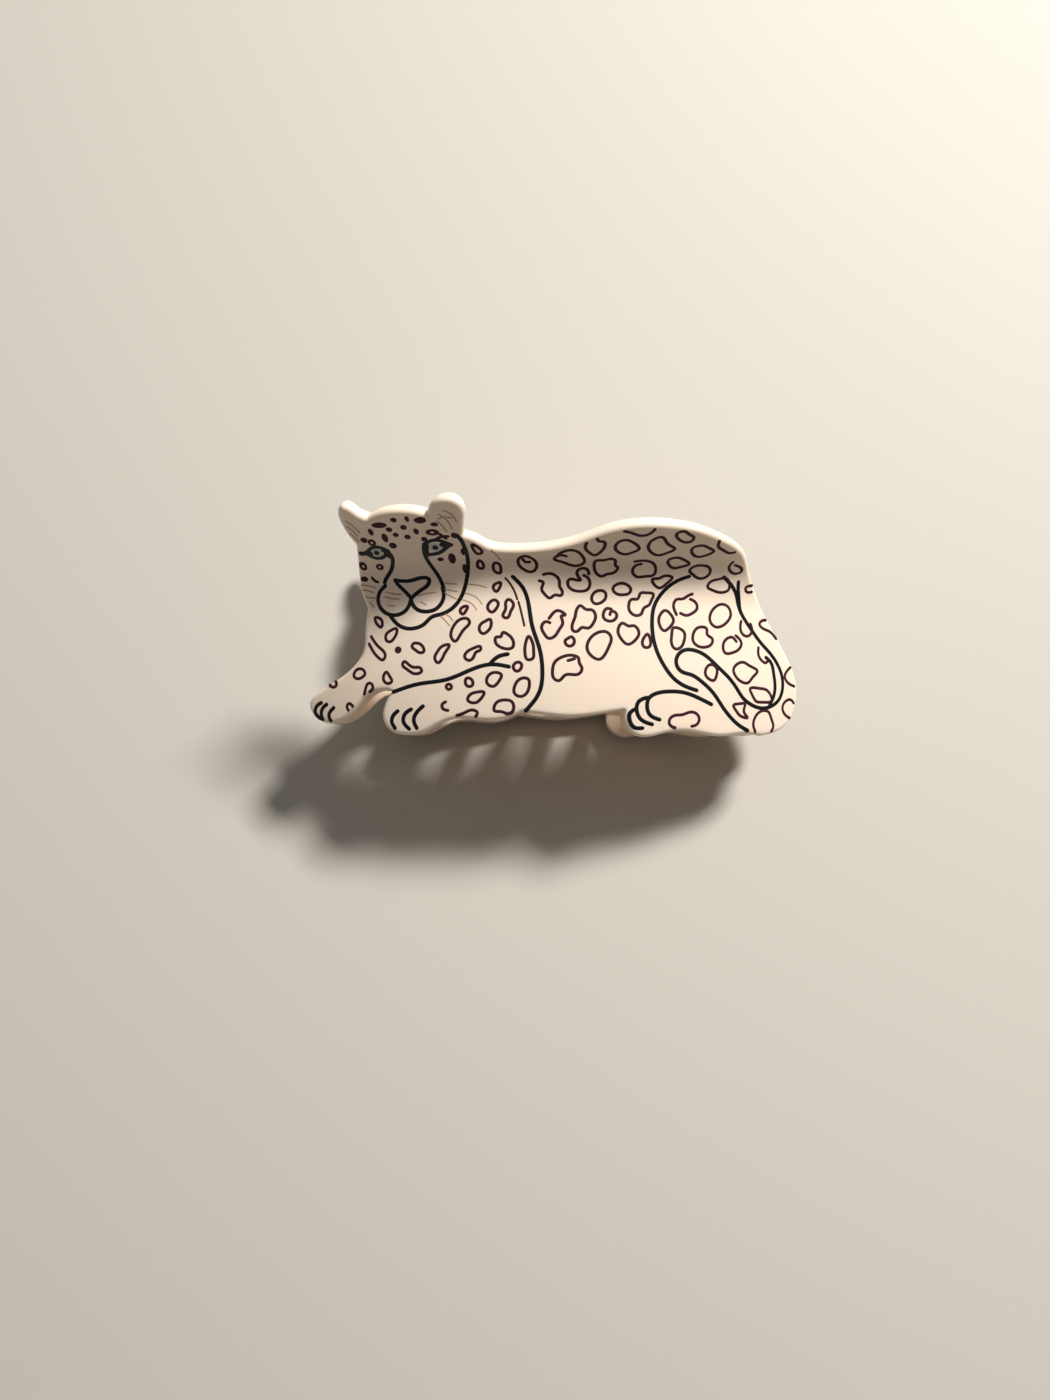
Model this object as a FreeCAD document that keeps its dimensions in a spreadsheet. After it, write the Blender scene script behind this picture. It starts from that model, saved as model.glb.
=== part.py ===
import FreeCAD, Part
import math
import os
from FreeCAD import Base, Placement, Rotation, Vector

# Leopard hair claw: two bowed acetate jaws on a sprung hinge, lying on the rear jaw.
#
# Clip frame, in which the pieces are modelled: X runs from the head (-) to the tail (+),
# Y runs up the jaws from the teeth (-) to the handles (+), and Z points out of the front jaw.
# The hinge pin is the X axis, and the plane Z = 0 lies halfway between the jaws.
# Sheet coordinates (along, up) lie on a jaw's outer face: lengths in mm along its two bends.

SIZES = {
    # the acetate sheet and its bends
    "sheet_thickness": 4.2,
    "bow_radius": 118.0,        # lengthwise bend, measured on the outer face
    "waist_reach": 20.0,        # mid-plane to the outer face at the waist
    "waist_low": 5.0,           # how far below the pin the waist's bend starts
    "waist_radius": 13.0,
    "handle_angle": 50.0,
    "flank_height": 12.0,       # flat stretch below the waist
    "hem_radius": 110.0,        # gentle inward bend of the lower edge
    "outline_length": 122.1,    # leopard, near paw to tail, along the sheet
    "outline_height": 55.8,     # leopard, paw to ear tip, up the sheet
    # the comb glued inside each jaw
    "comb_thickness": 3.0,
    "comb_half_length": 35.0,
    "comb_low": 25.5,           # its lower edge, below the pin
    "comb_height": 15.0,
    "comb_corner": 3.0,
    "tooth_pitch": 10.0,
    "tooth_width": 3.4,
    "tooth_root": 9.0,
    "tooth_cross": 3.5,         # how far a tip passes the mid-plane
    "tooth_tip": 2.4,
    "tooth_drop": 3.0,          # how far a tip hangs below its root
    # hinge hardware
    "pin_diameter": 2.4,
    "pin_play": 0.05,           # radial
    "pin_head_radius": 2.1,
    "pin_head_thickness": 0.9,
    "cap_fit": 0.02,
    "steel_gauge": 1.2,
    "lug_play": 0.15,
    "lug_reach": 11.4,          # middle of the clip to the inner side of a front lug
    "eye_radius": 3.2,
    "flange_length": 7.0,
    "flange_drop": 7.0,         # flange's lower edge, below the pin
    "seat_depth": 4.0,          # outer face at the waist to the milled seat
    "seat_margin": 0.15,
    "rivet_radius": 0.8,
    "rivet_fit": 0.02,
    "rivet_depth": 1.8,
    "rivet_head_radius": 1.4,
    "rivet_head_height": 0.6,
    "rivet_edge": 2.0,          # rivet centre to the flange's lower edge
    "rivet_spacing": 5.5,
    "rivet_out": 4.2,           # rivet centre to its lug
    # springs
    "wire_radius": 0.65,
    "coil_radius": 2.3,
    "coil_turns": 5.0,
    "coil_pitch": 1.4,
    "spring_start": 1.5,        # middle of the clip to the first leg
    "leg_height": 4.0,          # where a leg presses, up the sheet from the pin
    "leg_gap": 0.05,
    # enamel in the engraved face
    "engraving_depth": 0.4,
    "eye_height": 2.2,
    "eye_width": 2.9,
    "pupil_radius": 0.72,
    # how the closed clip lies
    "rest_tilt": 15.6,
    "rest_roll": 1.975,
}

CUT_ABOVE = 0.5                 # how far a cutter stands out of the face that it cuts
TOOTH_INSET = 1.0               # a tooth's lower side, above its comb's lower edge
TOOTH_SINK = 1.2                # how deep a tooth's root reaches into its comb
OVAL_STEPS = 4                  # spline spans in half an oval
COIL_STEP = math.pi / 8         # turn between two points of a coil's line
LEG_SHARES = (0.3, 0.6, 0.85, 0.95)
MESH_STEP = 0.05                # fineness of the mesh that finds the clip's box at rest

doc = FreeCAD.newDocument("leopard_hair_claw")
sheet = doc.addObject("Spreadsheet::Sheet", "sizes")
for row, (alias, number) in enumerate(SIZES.items(), start=1):
    sheet.set(f"A{row}", alias)
    sheet.set(f"B{row}", str(number))
    sheet.setAlias(f"B{row}", alias)
doc.recompute()


def size(alias):
    """The number in the sheet's cell."""
    return float(sheet.get(alias))


def seat_reach():
    """Distance from the mid-plane to the milled seat in each jaw."""
    return size("waist_reach") - size("seat_depth")


# ---------------------------------------------------------------- outline of the leopard
# Sheet coordinates of the drawn silhouette, in stretches between its corners.
DRAWN_LENGTH = 119.0
DRAWN_HEIGHT = 55.8
OUTLINE = {
    "near_ear": [(-43.1, 10.2), (-44.0, 13.5), (-44.2, 16.5), (-43.7, 19.4), (-42.3, 20.8),
                 (-40.9, 20.0), (-39.9, 18.5), (-38.3, 17.1)],
    "crown": [(-38.3, 17.1), (-35.2, 18.5), (-32.0, 18.9), (-29.0, 18.6), (-26.1, 17.5)],
    "far_ear": [(-26.1, 17.5), (-24.9, 20.0), (-22.6, 21.4), (-20.0, 20.8), (-18.8, 18.6),
                (-19.0, 15.9), (-19.8, 11.6)],
    "back": [(-19.8, 11.6), (-17.2, 10.3), (-15.0, 8.5), (-12.5, 7.8), (-8.0, 7.7), (-3.0, 8.3),
             (3.0, 10.3), (9.0, 13.6), (15.0, 15.3), (21.0, 15.5), (27.0, 14.7), (33.0, 12.6),
             (38.0, 10.0), (42.0, 5.2), (45.3, 0.5), (49.8, -6.2), (53.3, -11.2), (57.0, -16.6),
             (59.1, -21.5), (59.2, -26.0), (57.6, -30.3), (54.0, -33.0), (49.0, -34.2)],
    "rear_foot": [(49.0, -34.2), (44.0, -33.8), (38.0, -34.4), (32.0, -33.7), (27.5, -33.3),
                  (23.0, -34.1), (19.2, -34.8), (16.4, -34.0), (14.5, -31.6), (14.3, -28.7)],
    "belly": [(14.3, -28.7), (8.0, -29.8), (2.0, -30.4), (-4.0, -29.9), (-8.3, -29.4)],
    "far_paw": [(-8.3, -29.4), (-12.0, -30.9), (-16.0, -31.4), (-23.5, -31.1), (-27.5, -32.6),
                (-31.0, -34.4), (-35.0, -34.8), (-38.6, -33.8), (-40.4, -30.8), (-39.7, -27.4),
                (-38.0, -24.7)],
    "near_paw": [(-38.0, -24.7), (-42.2, -24.9), (-45.4, -27.1), (-48.6, -30.1), (-52.2, -32.0),
                 (-56.0, -31.9), (-59.0, -30.0), (-59.8, -27.2), (-57.5, -24.8), (-52.0, -21.9),
                 (-47.0, -18.2), (-45.2, -15.5), (-44.7, -10.5), (-44.1, -5.4)],
    "cheek": [(-44.1, -5.4), (-45.3, -2.6), (-45.6, 0.6), (-44.6, 5.2), (-43.1, 10.2)],
}

EYES = {"near_eye": (-39.0, 7.9), "far_eye": (-26.0, 8.7)}


# ---------------------------------------------------------------- the jaw's bent sheet
def bend(up, height=0.0):
    """Y and Z of the jaw's section, at a distance up the sheet and a height off its outer face."""
    waist = -size("waist_low")
    flank = waist - size("flank_height")
    reach = size("waist_reach")
    if up > waist:
        radius = size("waist_radius")
        turn = min((up - waist) / radius, math.radians(size("handle_angle")))
        past = up - waist - turn * radius
        y = waist + radius * math.sin(turn) + past * math.cos(turn)
        z = reach + radius * (1.0 - math.cos(turn)) + past * math.sin(turn)
    elif up > flank:
        turn = 0.0
        y = up
        z = reach
    else:
        radius = size("hem_radius")
        turn = (flank - up) / radius
        y = flank - radius * math.sin(turn)
        z = reach - radius * (1.0 - math.cos(turn))
    return y - height * math.sin(turn), z + height * math.cos(turn)


def bow_axis():
    """Distance of the lengthwise bend's axis behind the mid-plane."""
    return size("bow_radius") - size("waist_reach")


def on_sheet(along, up, height=0.0):
    """The point of the clip frame at sheet coordinates and a height off the outer face."""
    y, z = bend(up, height)
    turn = along / size("bow_radius")
    radius = z + bow_axis()
    return Vector(radius * math.sin(turn), y, radius * math.cos(turn) - bow_axis())


SURFACE_LOW = -40.0
SURFACE_HIGH = 26.0
SURFACE_STEP = 1.0
START_ANGLE = math.pi / 4


def sheet_surface(height):
    """The surface at one height off the outer face: the section turned about the bow's axis."""
    count = int(round((SURFACE_HIGH - SURFACE_LOW) / SURFACE_STEP))
    ups = [SURFACE_LOW + SURFACE_STEP * step for step in range(count + 1)]
    along = -START_ANGLE * size("bow_radius")
    section = Part.BSplineCurve()
    section.interpolate(Points=[on_sheet(along, up, height) for up in ups], Parameters=ups)
    axis = Vector(0, 0, -bow_axis())
    return Part.SurfaceOfRevolution(section, axis, Vector(0, 1, 0))


def flat_curve(points):
    """A smooth curve through sheet points, in the surface's own angle and distance."""
    flat = [Base.Vector2d(along / size("bow_radius") + START_ANGLE, up) for along, up in points]
    if len(flat) == 2:
        return Part.Geom2d.Line2dSegment(flat[0], flat[1])
    steps = [0.0]
    for (along, up), (next_along, next_up) in zip(points, points[1:]):
        steps.append(steps[-1] + math.hypot(next_along - along, next_up - up))
    curve = Part.Geom2d.BSplineCurve2d()
    if points[0] == points[-1]:
        curve.interpolate(Points=flat[:-1], PeriodicFlag=True, Parameters=steps)
    else:
        curve.interpolate(Points=flat, Parameters=steps)
    return curve


def sheet_piece(stretches, top, bottom):
    """A solid of the bent sheet between two heights, with its walls square to the sheet."""
    curves = [flat_curve(points) for points in stretches]
    upper = sheet_surface(top)
    lower = sheet_surface(bottom)
    above = [curve.toShape(upper) for curve in curves]
    below = [curve.toShape(lower) for curve in curves]
    walls = [Part.makeRuledSurface(one, two) for one, two in zip(above, below)]
    faces = [Part.Face(upper, Part.Wire(Part.__sortEdges__(above))),
             Part.Face(lower, Part.Wire(Part.__sortEdges__(below)))]
    shell = Part.Shell(faces + walls)
    shell.sewShape()
    solid = Part.Solid(shell)
    solid.fix(0.01, 0.01, 0.01)
    if solid.Volume < 0:
        solid.reverse()
    return solid


def drawn(points):
    """Drawn sheet points brought to the outline's length and height."""
    wide = size("outline_length") / DRAWN_LENGTH
    tall = size("outline_height") / DRAWN_HEIGHT
    return [(along * wide, up * tall) for along, up in points]


def oval(centre, half_wide, half_tall):
    """A closed oval in sheet coordinates, as two halves."""
    halves = []
    for start in (0.0, math.pi):
        turns = [start + math.pi * step / OVAL_STEPS for step in range(OVAL_STEPS + 1)]
        halves.append([(centre[0] + half_wide * math.cos(turn), centre[1] + half_tall * math.sin(turn))
                       for turn in turns])
    return halves


def rounded_band(half_length, low, high, corner):
    """A rectangle in sheet coordinates with round corners, as eight stretches."""
    middles = [(half_length - corner, high - corner, 0.0), (corner - half_length, high - corner, 90.0),
               (corner - half_length, low + corner, 180.0), (half_length - corner, low + corner, 270.0)]
    arcs = []
    for along, up, start in middles:
        turns = [math.radians(start + 22.5 * step) for step in range(5)]
        arcs.append([(along + corner * math.cos(turn), up + corner * math.sin(turn)) for turn in turns])
    stretches = []
    for arc, following in zip(arcs, arcs[1:] + arcs[:1]):
        stretches += [arc, [arc[-1], following[0]]]
    return stretches


# ---------------------------------------------------------------- shapes of the acetate pieces
def face_shapes():
    """The stretches round each engraved shape of the face, by the enamel that fills it."""
    tall, wide, pupil = size("eye_height") / 2, size("eye_width") / 2, size("pupil_radius")
    spots = [drawn([spot])[0] for spot in EYES.values()]
    return {
        "eye": [oval(spot, wide, tall) for spot in spots],
        "pupil": [oval(spot, pupil, pupil) for spot in spots],
    }


def jaw_plate(seats):
    """The front jaw's sheet with its engraved face, bracket seats and blind rivet holes."""
    plate = sheet_piece([drawn(points) for points in OUTLINE.values()], 0.0, -size("sheet_thickness"))
    shapes, depth = face_shapes(), size("engraving_depth")
    for stretches in shapes["eye"]:
        plate = plate.cut(sheet_piece(stretches, CUT_ABOVE, -depth))
    margin, floor = size("seat_margin"), seat_reach()
    high = size("eye_radius") + margin
    low = -size("flange_drop") - margin
    for start, places in seats:
        plate = plate.cut(Part.makeBox(size("flange_length") + 2 * margin, high - low, floor,
                                       Vector(start - margin, low, 0)))
        for x, y in places:
            plate = plate.cut(Part.makeCylinder(size("rivet_radius") + size("rivet_fit"),
                                                size("rivet_depth") + margin + 1, Vector(x, y, floor - 1)))
    return plate.Solids[0]


def enamel(name):
    """The enamel that fills one kind of engraving, as a group of solids."""
    depth = size("engraving_depth")
    fills = [sheet_piece(stretches, 0.0, -depth) for stretches in face_shapes()[name]]
    if name == "eye":
        holes = [sheet_piece(stretches, CUT_ABOVE, -depth - CUT_ABOVE)
                 for stretches in face_shapes()["pupil"]]
        fills = [fill.cut(hole) for fill, hole in zip(fills, holes)]
    return Part.makeCompound([solid for fill in fills for solid in fill.Solids])


def tooth(across):
    """One curved comb tooth of the front jaw, centred at a distance across the clip."""
    inner = -size("sheet_thickness") - size("comb_thickness")
    along = size("bow_radius") * math.asin(across / (size("bow_radius") + inner))
    low = -size("comb_low") + TOOTH_INSET
    root = on_sheet(along, low + size("tooth_root") / 2, inner).z + TOOTH_SINK
    high = low + size("tooth_root")
    tip = low - size("tooth_drop")
    cross = -size("tooth_cross")
    thick = size("tooth_tip")
    x = across - size("tooth_width") / 2

    def at(y, z):
        return Vector(x, y, z)

    outer = Part.BSplineCurve()
    outer.interpolate([at(low, root), at(tip + thick * 0.35, root * 0.5), at(tip, cross + thick / 2)])
    inside = Part.BSplineCurve()
    inside.interpolate([at(high, root), at(tip + thick * 2.2, root * 0.5),
                        at(tip + thick, cross + thick / 2)])
    end = Part.Arc(at(tip, cross + thick / 2), at(tip + thick / 2, cross),
                   at(tip + thick, cross + thick / 2))
    edges = [outer.toShape(), end.toShape(), inside.toShape(), Part.makeLine(at(high, root), at(low, root))]
    face = Part.Face(Part.Wire(Part.__sortEdges__(edges)))
    return face.extrude(Vector(size("tooth_width"), 0, 0))


def comb(places):
    """The comb glued inside the front jaw, with a tooth at each place across."""
    top = -size("sheet_thickness")
    low = -size("comb_low")
    band = rounded_band(size("comb_half_length"), low, low + size("comb_height"), size("comb_corner"))
    shape = sheet_piece(band, top, top - size("comb_thickness"))
    return shape.multiFuse([tooth(across) for across in places]).removeSplitter()


def tooth_places(count):
    """Where the teeth stand across the clip, evenly about its middle."""
    return [size("tooth_pitch") * (number - (count - 1) / 2) for number in range(count)]


# ---------------------------------------------------------------- springs
def leg_end(across, jaw):
    """Where the centre of a leg's end lies against a handle's inner face."""
    height = -size("sheet_thickness") - size("wire_radius") - size("leg_gap")
    along = size("bow_radius") * math.asin(across / size("bow_radius"))
    place = on_sheet(along, size("leg_height"), height)
    return Vector(across, place.y, jaw * place.z)


def spring(side):
    """A torsion spring round the pin: a leg, the coil and the other leg, as one swept wire."""
    radius, start = size("coil_radius"), size("spring_start")
    far = leg_end(start, 1)
    lead = math.atan2(far.z, far.y) + math.acos(radius / math.hypot(far.y, far.z))
    total = 2 * math.pi * size("coil_turns") - 2 * lead + 2 * math.pi
    rise = size("coil_pitch") * total / (2 * math.pi)
    rear, front = leg_end(start, -1), leg_end(start + rise, 1)
    steps = round(total / COIL_STEP)
    coil = []
    for step in range(steps + 1):
        turn = -lead - total * step / steps
        coil.append(Vector(start + rise * step / steps, radius * math.cos(turn), radius * math.sin(turn)))
    legs = [[end + (knee - end) * share for share in LEG_SHARES]
            for end, knee in ((rear, coil[0]), (front, coil[-1]))]
    wire = Part.BSplineCurve()
    wire.interpolate([rear] + legs[0] + coil + legs[1][::-1] + [front])
    section = Part.Wire([Part.makeCircle(size("wire_radius"), rear, coil[0] - rear)])
    shape = Part.Wire([wire.toShape()]).makePipeShell([section], True, False)
    shape = shape.Solids[0]
    return shape if side > 0 else shape.mirror(Vector(0, 0, 0), Vector(1, 0, 0))


# ---------------------------------------------------------------- document objects
AXIAL = Rotation(Vector(0, 1, 0), 90)


def primitive(kind, name, sizes, spot=(0, 0, 0), turn=None):
    """A Part primitive whose sizes and position are expressions on the sheet."""
    item = doc.addObject(f"Part::{kind}", name)
    if turn:
        item.Placement = Placement(Vector(), turn)
    for field, rule in sizes.items():
        item.setExpression(field, rule)
    for axis, rule in zip("xyz", spot):
        item.setExpression(f"Placement.Base.{axis}", str(rule))
    return item


def joined(name, items):
    """The union of several objects."""
    item = doc.addObject("Part::MultiFuse", name)
    item.Shapes = items
    return item


def less(name, base, tool):
    """One object with another cut out of it."""
    item = doc.addObject("Part::Cut", name)
    item.Base, item.Tool = base, tool
    return item


def freeform(name, shape):
    """A document object holding a shape that the primitives can't describe."""
    item = doc.addObject("Part::Feature", name)
    item.Shape = shape
    return item


def sized(text):
    """An expression with every word that names a cell pointed at the sheet."""
    text = text.replace("seat_reach", "(waist_reach - seat_depth)")
    for alias in sorted(SIZES, key=len, reverse=True):
        text = text.replace(alias, f"<<{alias}>>")
    for alias in SIZES:
        text = text.replace(f"<<{alias}>>", f"sizes.{alias}")
    return text


RIVET_UPS = ("rivet_edge - flange_drop", "rivet_edge + rivet_spacing - flange_drop")


def bracket(name, hand):
    """A riveted hinge bracket: lug with its eye, and a flange that points to the hand's side."""
    start = "0" if hand > 0 else sized("steel_gauge - flange_length")
    eye = primitive("Cylinder", f"{name}_eye",
                    {"Radius": sized("eye_radius"), "Height": sized("steel_gauge")}, turn=AXIAL)
    lug = primitive("Box", f"{name}_lug", {"Length": sized("steel_gauge"), "Width": sized("eye_radius * 2"),
                                           "Height": sized("seat_reach")}, (0, sized("-eye_radius"), 0))
    flange = primitive("Box", f"{name}_flange",
                       {"Length": sized("flange_length"), "Width": sized("flange_drop + eye_radius"),
                        "Height": sized("steel_gauge")},
                       (start, sized("-flange_drop"), sized("seat_reach - steel_gauge")))
    holes = [primitive("Cylinder", f"{name}_bore",
                       {"Radius": sized("pin_diameter / 2 + pin_play"), "Height": sized("steel_gauge * 3")},
                       (sized("-steel_gauge"), 0, 0), AXIAL)]
    for number, up in enumerate(RIVET_UPS, start=1):
        holes.append(primitive("Cylinder", f"{name}_rivet_hole_{number}",
                               {"Radius": sized("rivet_radius + rivet_fit"),
                                "Height": sized("steel_gauge * 3")},
                               (rivet_across(hand), sized(up), sized("seat_reach - steel_gauge * 2"))))
    solid = joined(f"{name}_blank", [eye, lug, flange])
    return less(name, solid, joined(f"{name}_holes", holes))


def rivet_across(hand):
    """Where a bracket's rivets stand along its flange."""
    return sized("steel_gauge / 2 + rivet_out") if hand > 0 else sized("steel_gauge / 2 - rivet_out")


def rivets(name, offsets):
    """The blind rivets of one jaw's two brackets, as a group of solids."""
    group = []
    for side, (hand, offset) in offsets.items():
        for number, up in enumerate(RIVET_UPS, start=1):
            where = f"{name}_{side}_{number}"
            place = (f"{rivet_across(hand)} + {offset}", sized(up))
            shank = primitive("Cylinder", f"{where}_shank",
                              {"Radius": sized("rivet_radius"),
                               "Height": sized("steel_gauge + rivet_depth")},
                              (*place, sized("seat_reach - steel_gauge")))
            head = primitive("Cone", f"{where}_head",
                             {"Radius1": sized("rivet_head_radius * 0.6"),
                              "Radius2": sized("rivet_head_radius"),
                              "Height": sized("rivet_head_height")},
                             (*place, sized("seat_reach - steel_gauge - rivet_head_height")))
            group.append(joined(where, [shank, head]))
    item = doc.addObject("Part::Compound", name)
    item.Links = group
    return item


# Each bracket's hand and offset, in its own jaw's frame; the rear jaw is half a turn about Y away.
FRONT = {"right": (-1, sized("lug_reach")), "left": (1, sized("-lug_reach - steel_gauge"))}
REAR = {"right": (-1, sized("-lug_reach - 2 * steel_gauge - lug_play")),
        "left": (1, sized("lug_reach + steel_gauge + lug_play"))}


def offset_mm(rule):
    """The value of an offset's expression."""
    return float(sheet.evalExpression(rule))


def seats(offsets):
    """Each flange's start and its rivets' places, for milling a plate."""
    cuts = []
    for hand, rule in offsets.values():
        offset = offset_mm(rule)
        start = offset if hand > 0 else offset + size("steel_gauge") - size("flange_length")
        across = offset + size("steel_gauge") / 2 + hand * size("rivet_out")
        ups = [size("rivet_edge") - size("flange_drop"),
               size("rivet_edge") - size("flange_drop") + size("rivet_spacing")]
        cuts.append((start, [(across, up) for up in ups]))
    return cuts


def turned(shape):
    """A shape made for the front jaw, mirrored to the rear jaw."""
    return shape.mirror(Vector(0, 0, 0), Vector(0, 0, 1))


nodes, flipped, offsets_used = {}, set(), {}


def node(name, item, flip=False):
    """Name a finished piece, and say whether it was made in the rear jaw's own frame."""
    item.Label = name
    nodes[name] = item
    if flip:
        flipped.add(name)


def mirrored_seats(offsets):
    """The rear jaw's seats as they fall on a plate made for the front jaw."""
    return [(-start - size("flange_length"), [(-x, y) for x, y in places])
            for start, places in seats(offsets)]


def hinge_hardware():
    """The pin with its head and its press-on cap."""
    reach = "(lug_reach + 2 * steel_gauge + lug_play + pin_play)"
    shaft = primitive("Cylinder", "pin_shaft",
                      {"Radius": sized("pin_diameter / 2"),
                       "Height": sized(f"2 * {reach} + pin_head_thickness * 1.3")},
                      (sized(f"-{reach} - pin_head_thickness * 1.3"), 0, 0), AXIAL)
    head = primitive("Cone", "pin_head",
                     {"Radius1": sized("pin_head_radius"), "Radius2": sized("pin_head_radius * 0.7"),
                      "Height": sized("pin_head_thickness")}, (sized(reach), 0, 0), AXIAL)
    node("hinge_pin", joined("hinge_pin", [shaft, head]))
    disc = primitive("Cylinder", "cap_disc",
                     {"Radius": sized("pin_head_radius"), "Height": sized("pin_head_thickness")},
                     (sized(f"-{reach} - pin_head_thickness"), 0, 0), AXIAL)
    bore = primitive("Cylinder", "cap_bore",
                     {"Radius": sized("pin_diameter / 2 + cap_fit"),
                      "Height": sized("pin_head_thickness * 3")},
                     (sized(f"-{reach} - pin_head_thickness * 2"), 0, 0), AXIAL)
    node("pin_end_cap", less("pin_end_cap", disc, bore))


def build():
    """Every piece of the clip, in the clip frame or the rear jaw's own frame."""
    front_plate = jaw_plate(seats(FRONT))
    node("front_plate", freeform("front_plate", front_plate))
    node("rear_plate", freeform("rear_plate", turned(jaw_plate(mirrored_seats(REAR)))))
    node("front_comb", freeform("front_comb", comb(tooth_places(7))))
    node("rear_comb", freeform("rear_comb", turned(comb(tooth_places(6)))))
    for kind in ("eye", "pupil"):
        fill = enamel(kind)
        node(f"front_{kind}_enamel", freeform(f"front_{kind}_enamel", fill))
        node(f"rear_{kind}_enamel", freeform(f"rear_{kind}_enamel", turned(fill)))
    for jaw, offsets in (("front", FRONT), ("rear", REAR)):
        for side, (hand, rule) in offsets.items():
            name = f"{jaw}_bracket_{side}"
            node(name, bracket(name, hand), jaw == "rear")
            offsets_used[name] = offset_mm(rule)
        name = f"{jaw}_bracket_rivets"
        node(name, rivets(name, offsets), jaw == "rear")
    hinge_hardware()
    node("spring_right", freeform("spring_right", spring(1)))
    node("spring_left", freeform("spring_left", spring(-1)))


def lay_down():
    """Place every piece: its own offset, then the clip turned to its rest and set on the ground."""
    rest = Rotation(Vector(0, 1, 0), size("rest_roll")) * Rotation(Vector(1, 0, 0), size("rest_tilt"))
    half_turn = Rotation(Vector(0, 1, 0), 180)
    own = {}
    for name in nodes:
        turn = half_turn if name in flipped else Rotation()
        own[name] = Placement(Vector(), rest) * Placement(Vector(), turn)
        own[name] = own[name] * Placement(Vector(offsets_used.get(name, 0.0), 0, 0), Rotation())
    corners = []
    for name, item in nodes.items():
        shape = item.Shape.copy()
        shape.Placement = own[name] * item.Placement
        corners += shape.tessellate(MESH_STEP)[0]
    spans = [(min(values), max(values)) for values in zip(*[(p.x, p.y, p.z) for p in corners])]
    (west, east), (south, north), (floor, top) = spans
    shift = Vector(-(west + east) / 2, -(south + north) / 2, -floor)
    for name, item in nodes.items():
        item.Placement = Placement(shift, Rotation()) * own[name] * item.Placement
    doc.recompute()
    pin = rest.multVec(Vector(1, 0, 0))
    print("pin centre", tuple(round(value, 3) for value in shift), "axis", tuple(pin),
          "size", [round(b - a, 2) for a, b in spans])


def write():
    """Check every object, then write one STEP file per piece."""
    for item in doc.Objects:
        if set(item.State) & {"Invalid", "Error"}:
            raise RuntimeError(f"{item.Label} did not build")
    for name, item in nodes.items():
        if item.Shape.isNull() or not item.Shape.isValid() or not item.Shape.Solids:
            raise RuntimeError(f"{name} is not a valid solid")
        item.Shape.exportStep(os.path.join("parts", f"{name}.step"))
        print(name, len(item.Shape.Solids), round(item.Shape.Volume, 2))


os.makedirs("parts", exist_ok=True)
build()
doc.recompute()
lay_down()
write()
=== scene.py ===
"""Leopard hair claw: two bowed acetate jaws, engraved and enamelled, on a sprung steel hinge.

Sheet coordinates (along, up) are millimetres on a jaw's outer face, measured from the middle of
the clip and from the hinge pin. Heights are millimetres off that face, outwards.
"""
import logging
import math
from dataclasses import dataclass, field
from enum import Enum

import bmesh
import bpy
import numpy as np
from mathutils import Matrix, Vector, geometry

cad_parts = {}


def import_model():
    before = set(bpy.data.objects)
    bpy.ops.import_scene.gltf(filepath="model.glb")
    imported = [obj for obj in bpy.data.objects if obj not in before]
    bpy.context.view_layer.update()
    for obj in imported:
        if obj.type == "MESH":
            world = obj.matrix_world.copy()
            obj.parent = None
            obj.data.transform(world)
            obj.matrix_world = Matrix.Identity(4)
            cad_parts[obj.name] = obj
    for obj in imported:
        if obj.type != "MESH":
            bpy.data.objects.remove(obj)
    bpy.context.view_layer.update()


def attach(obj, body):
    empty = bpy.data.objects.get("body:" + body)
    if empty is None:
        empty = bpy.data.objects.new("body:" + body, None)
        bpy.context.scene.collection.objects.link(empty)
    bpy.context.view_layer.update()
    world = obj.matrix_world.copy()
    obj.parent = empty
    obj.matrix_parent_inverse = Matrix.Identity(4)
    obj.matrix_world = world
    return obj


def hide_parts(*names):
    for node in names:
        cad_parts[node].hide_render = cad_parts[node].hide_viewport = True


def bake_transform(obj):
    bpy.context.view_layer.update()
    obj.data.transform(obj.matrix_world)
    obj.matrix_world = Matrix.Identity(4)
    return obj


LOG = logging.getLogger("leopard_hair_claw")
Point = tuple[float, float]
Stroke = list[Point]

MM = 0.001
WELD = 2e-6
PIN_CENTRE = (0.375, 6.197, 27.871)
REST_TILT = 15.6
REST_ROLL = 1.975
SCALE_ALONG = 122.1 / 119.0


class Jaw(Enum):
    """Which of the two jaws a piece belongs to."""

    FRONT = 1
    REAR = -1

    @property
    def label(self) -> str:
        """The jaw's name as it stands in the pieces' names."""
        return self.name.lower()

    @property
    def body(self) -> str:
        """The rigid body that the jaw's pieces ride on."""
        return f"{self.label}_jaw"


class Line(Enum):
    """The kinds of engraved line, by the enamel in them."""

    BLACK = "black_line"
    SPOT = "rosette"
    TAN = "whisker"


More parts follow.
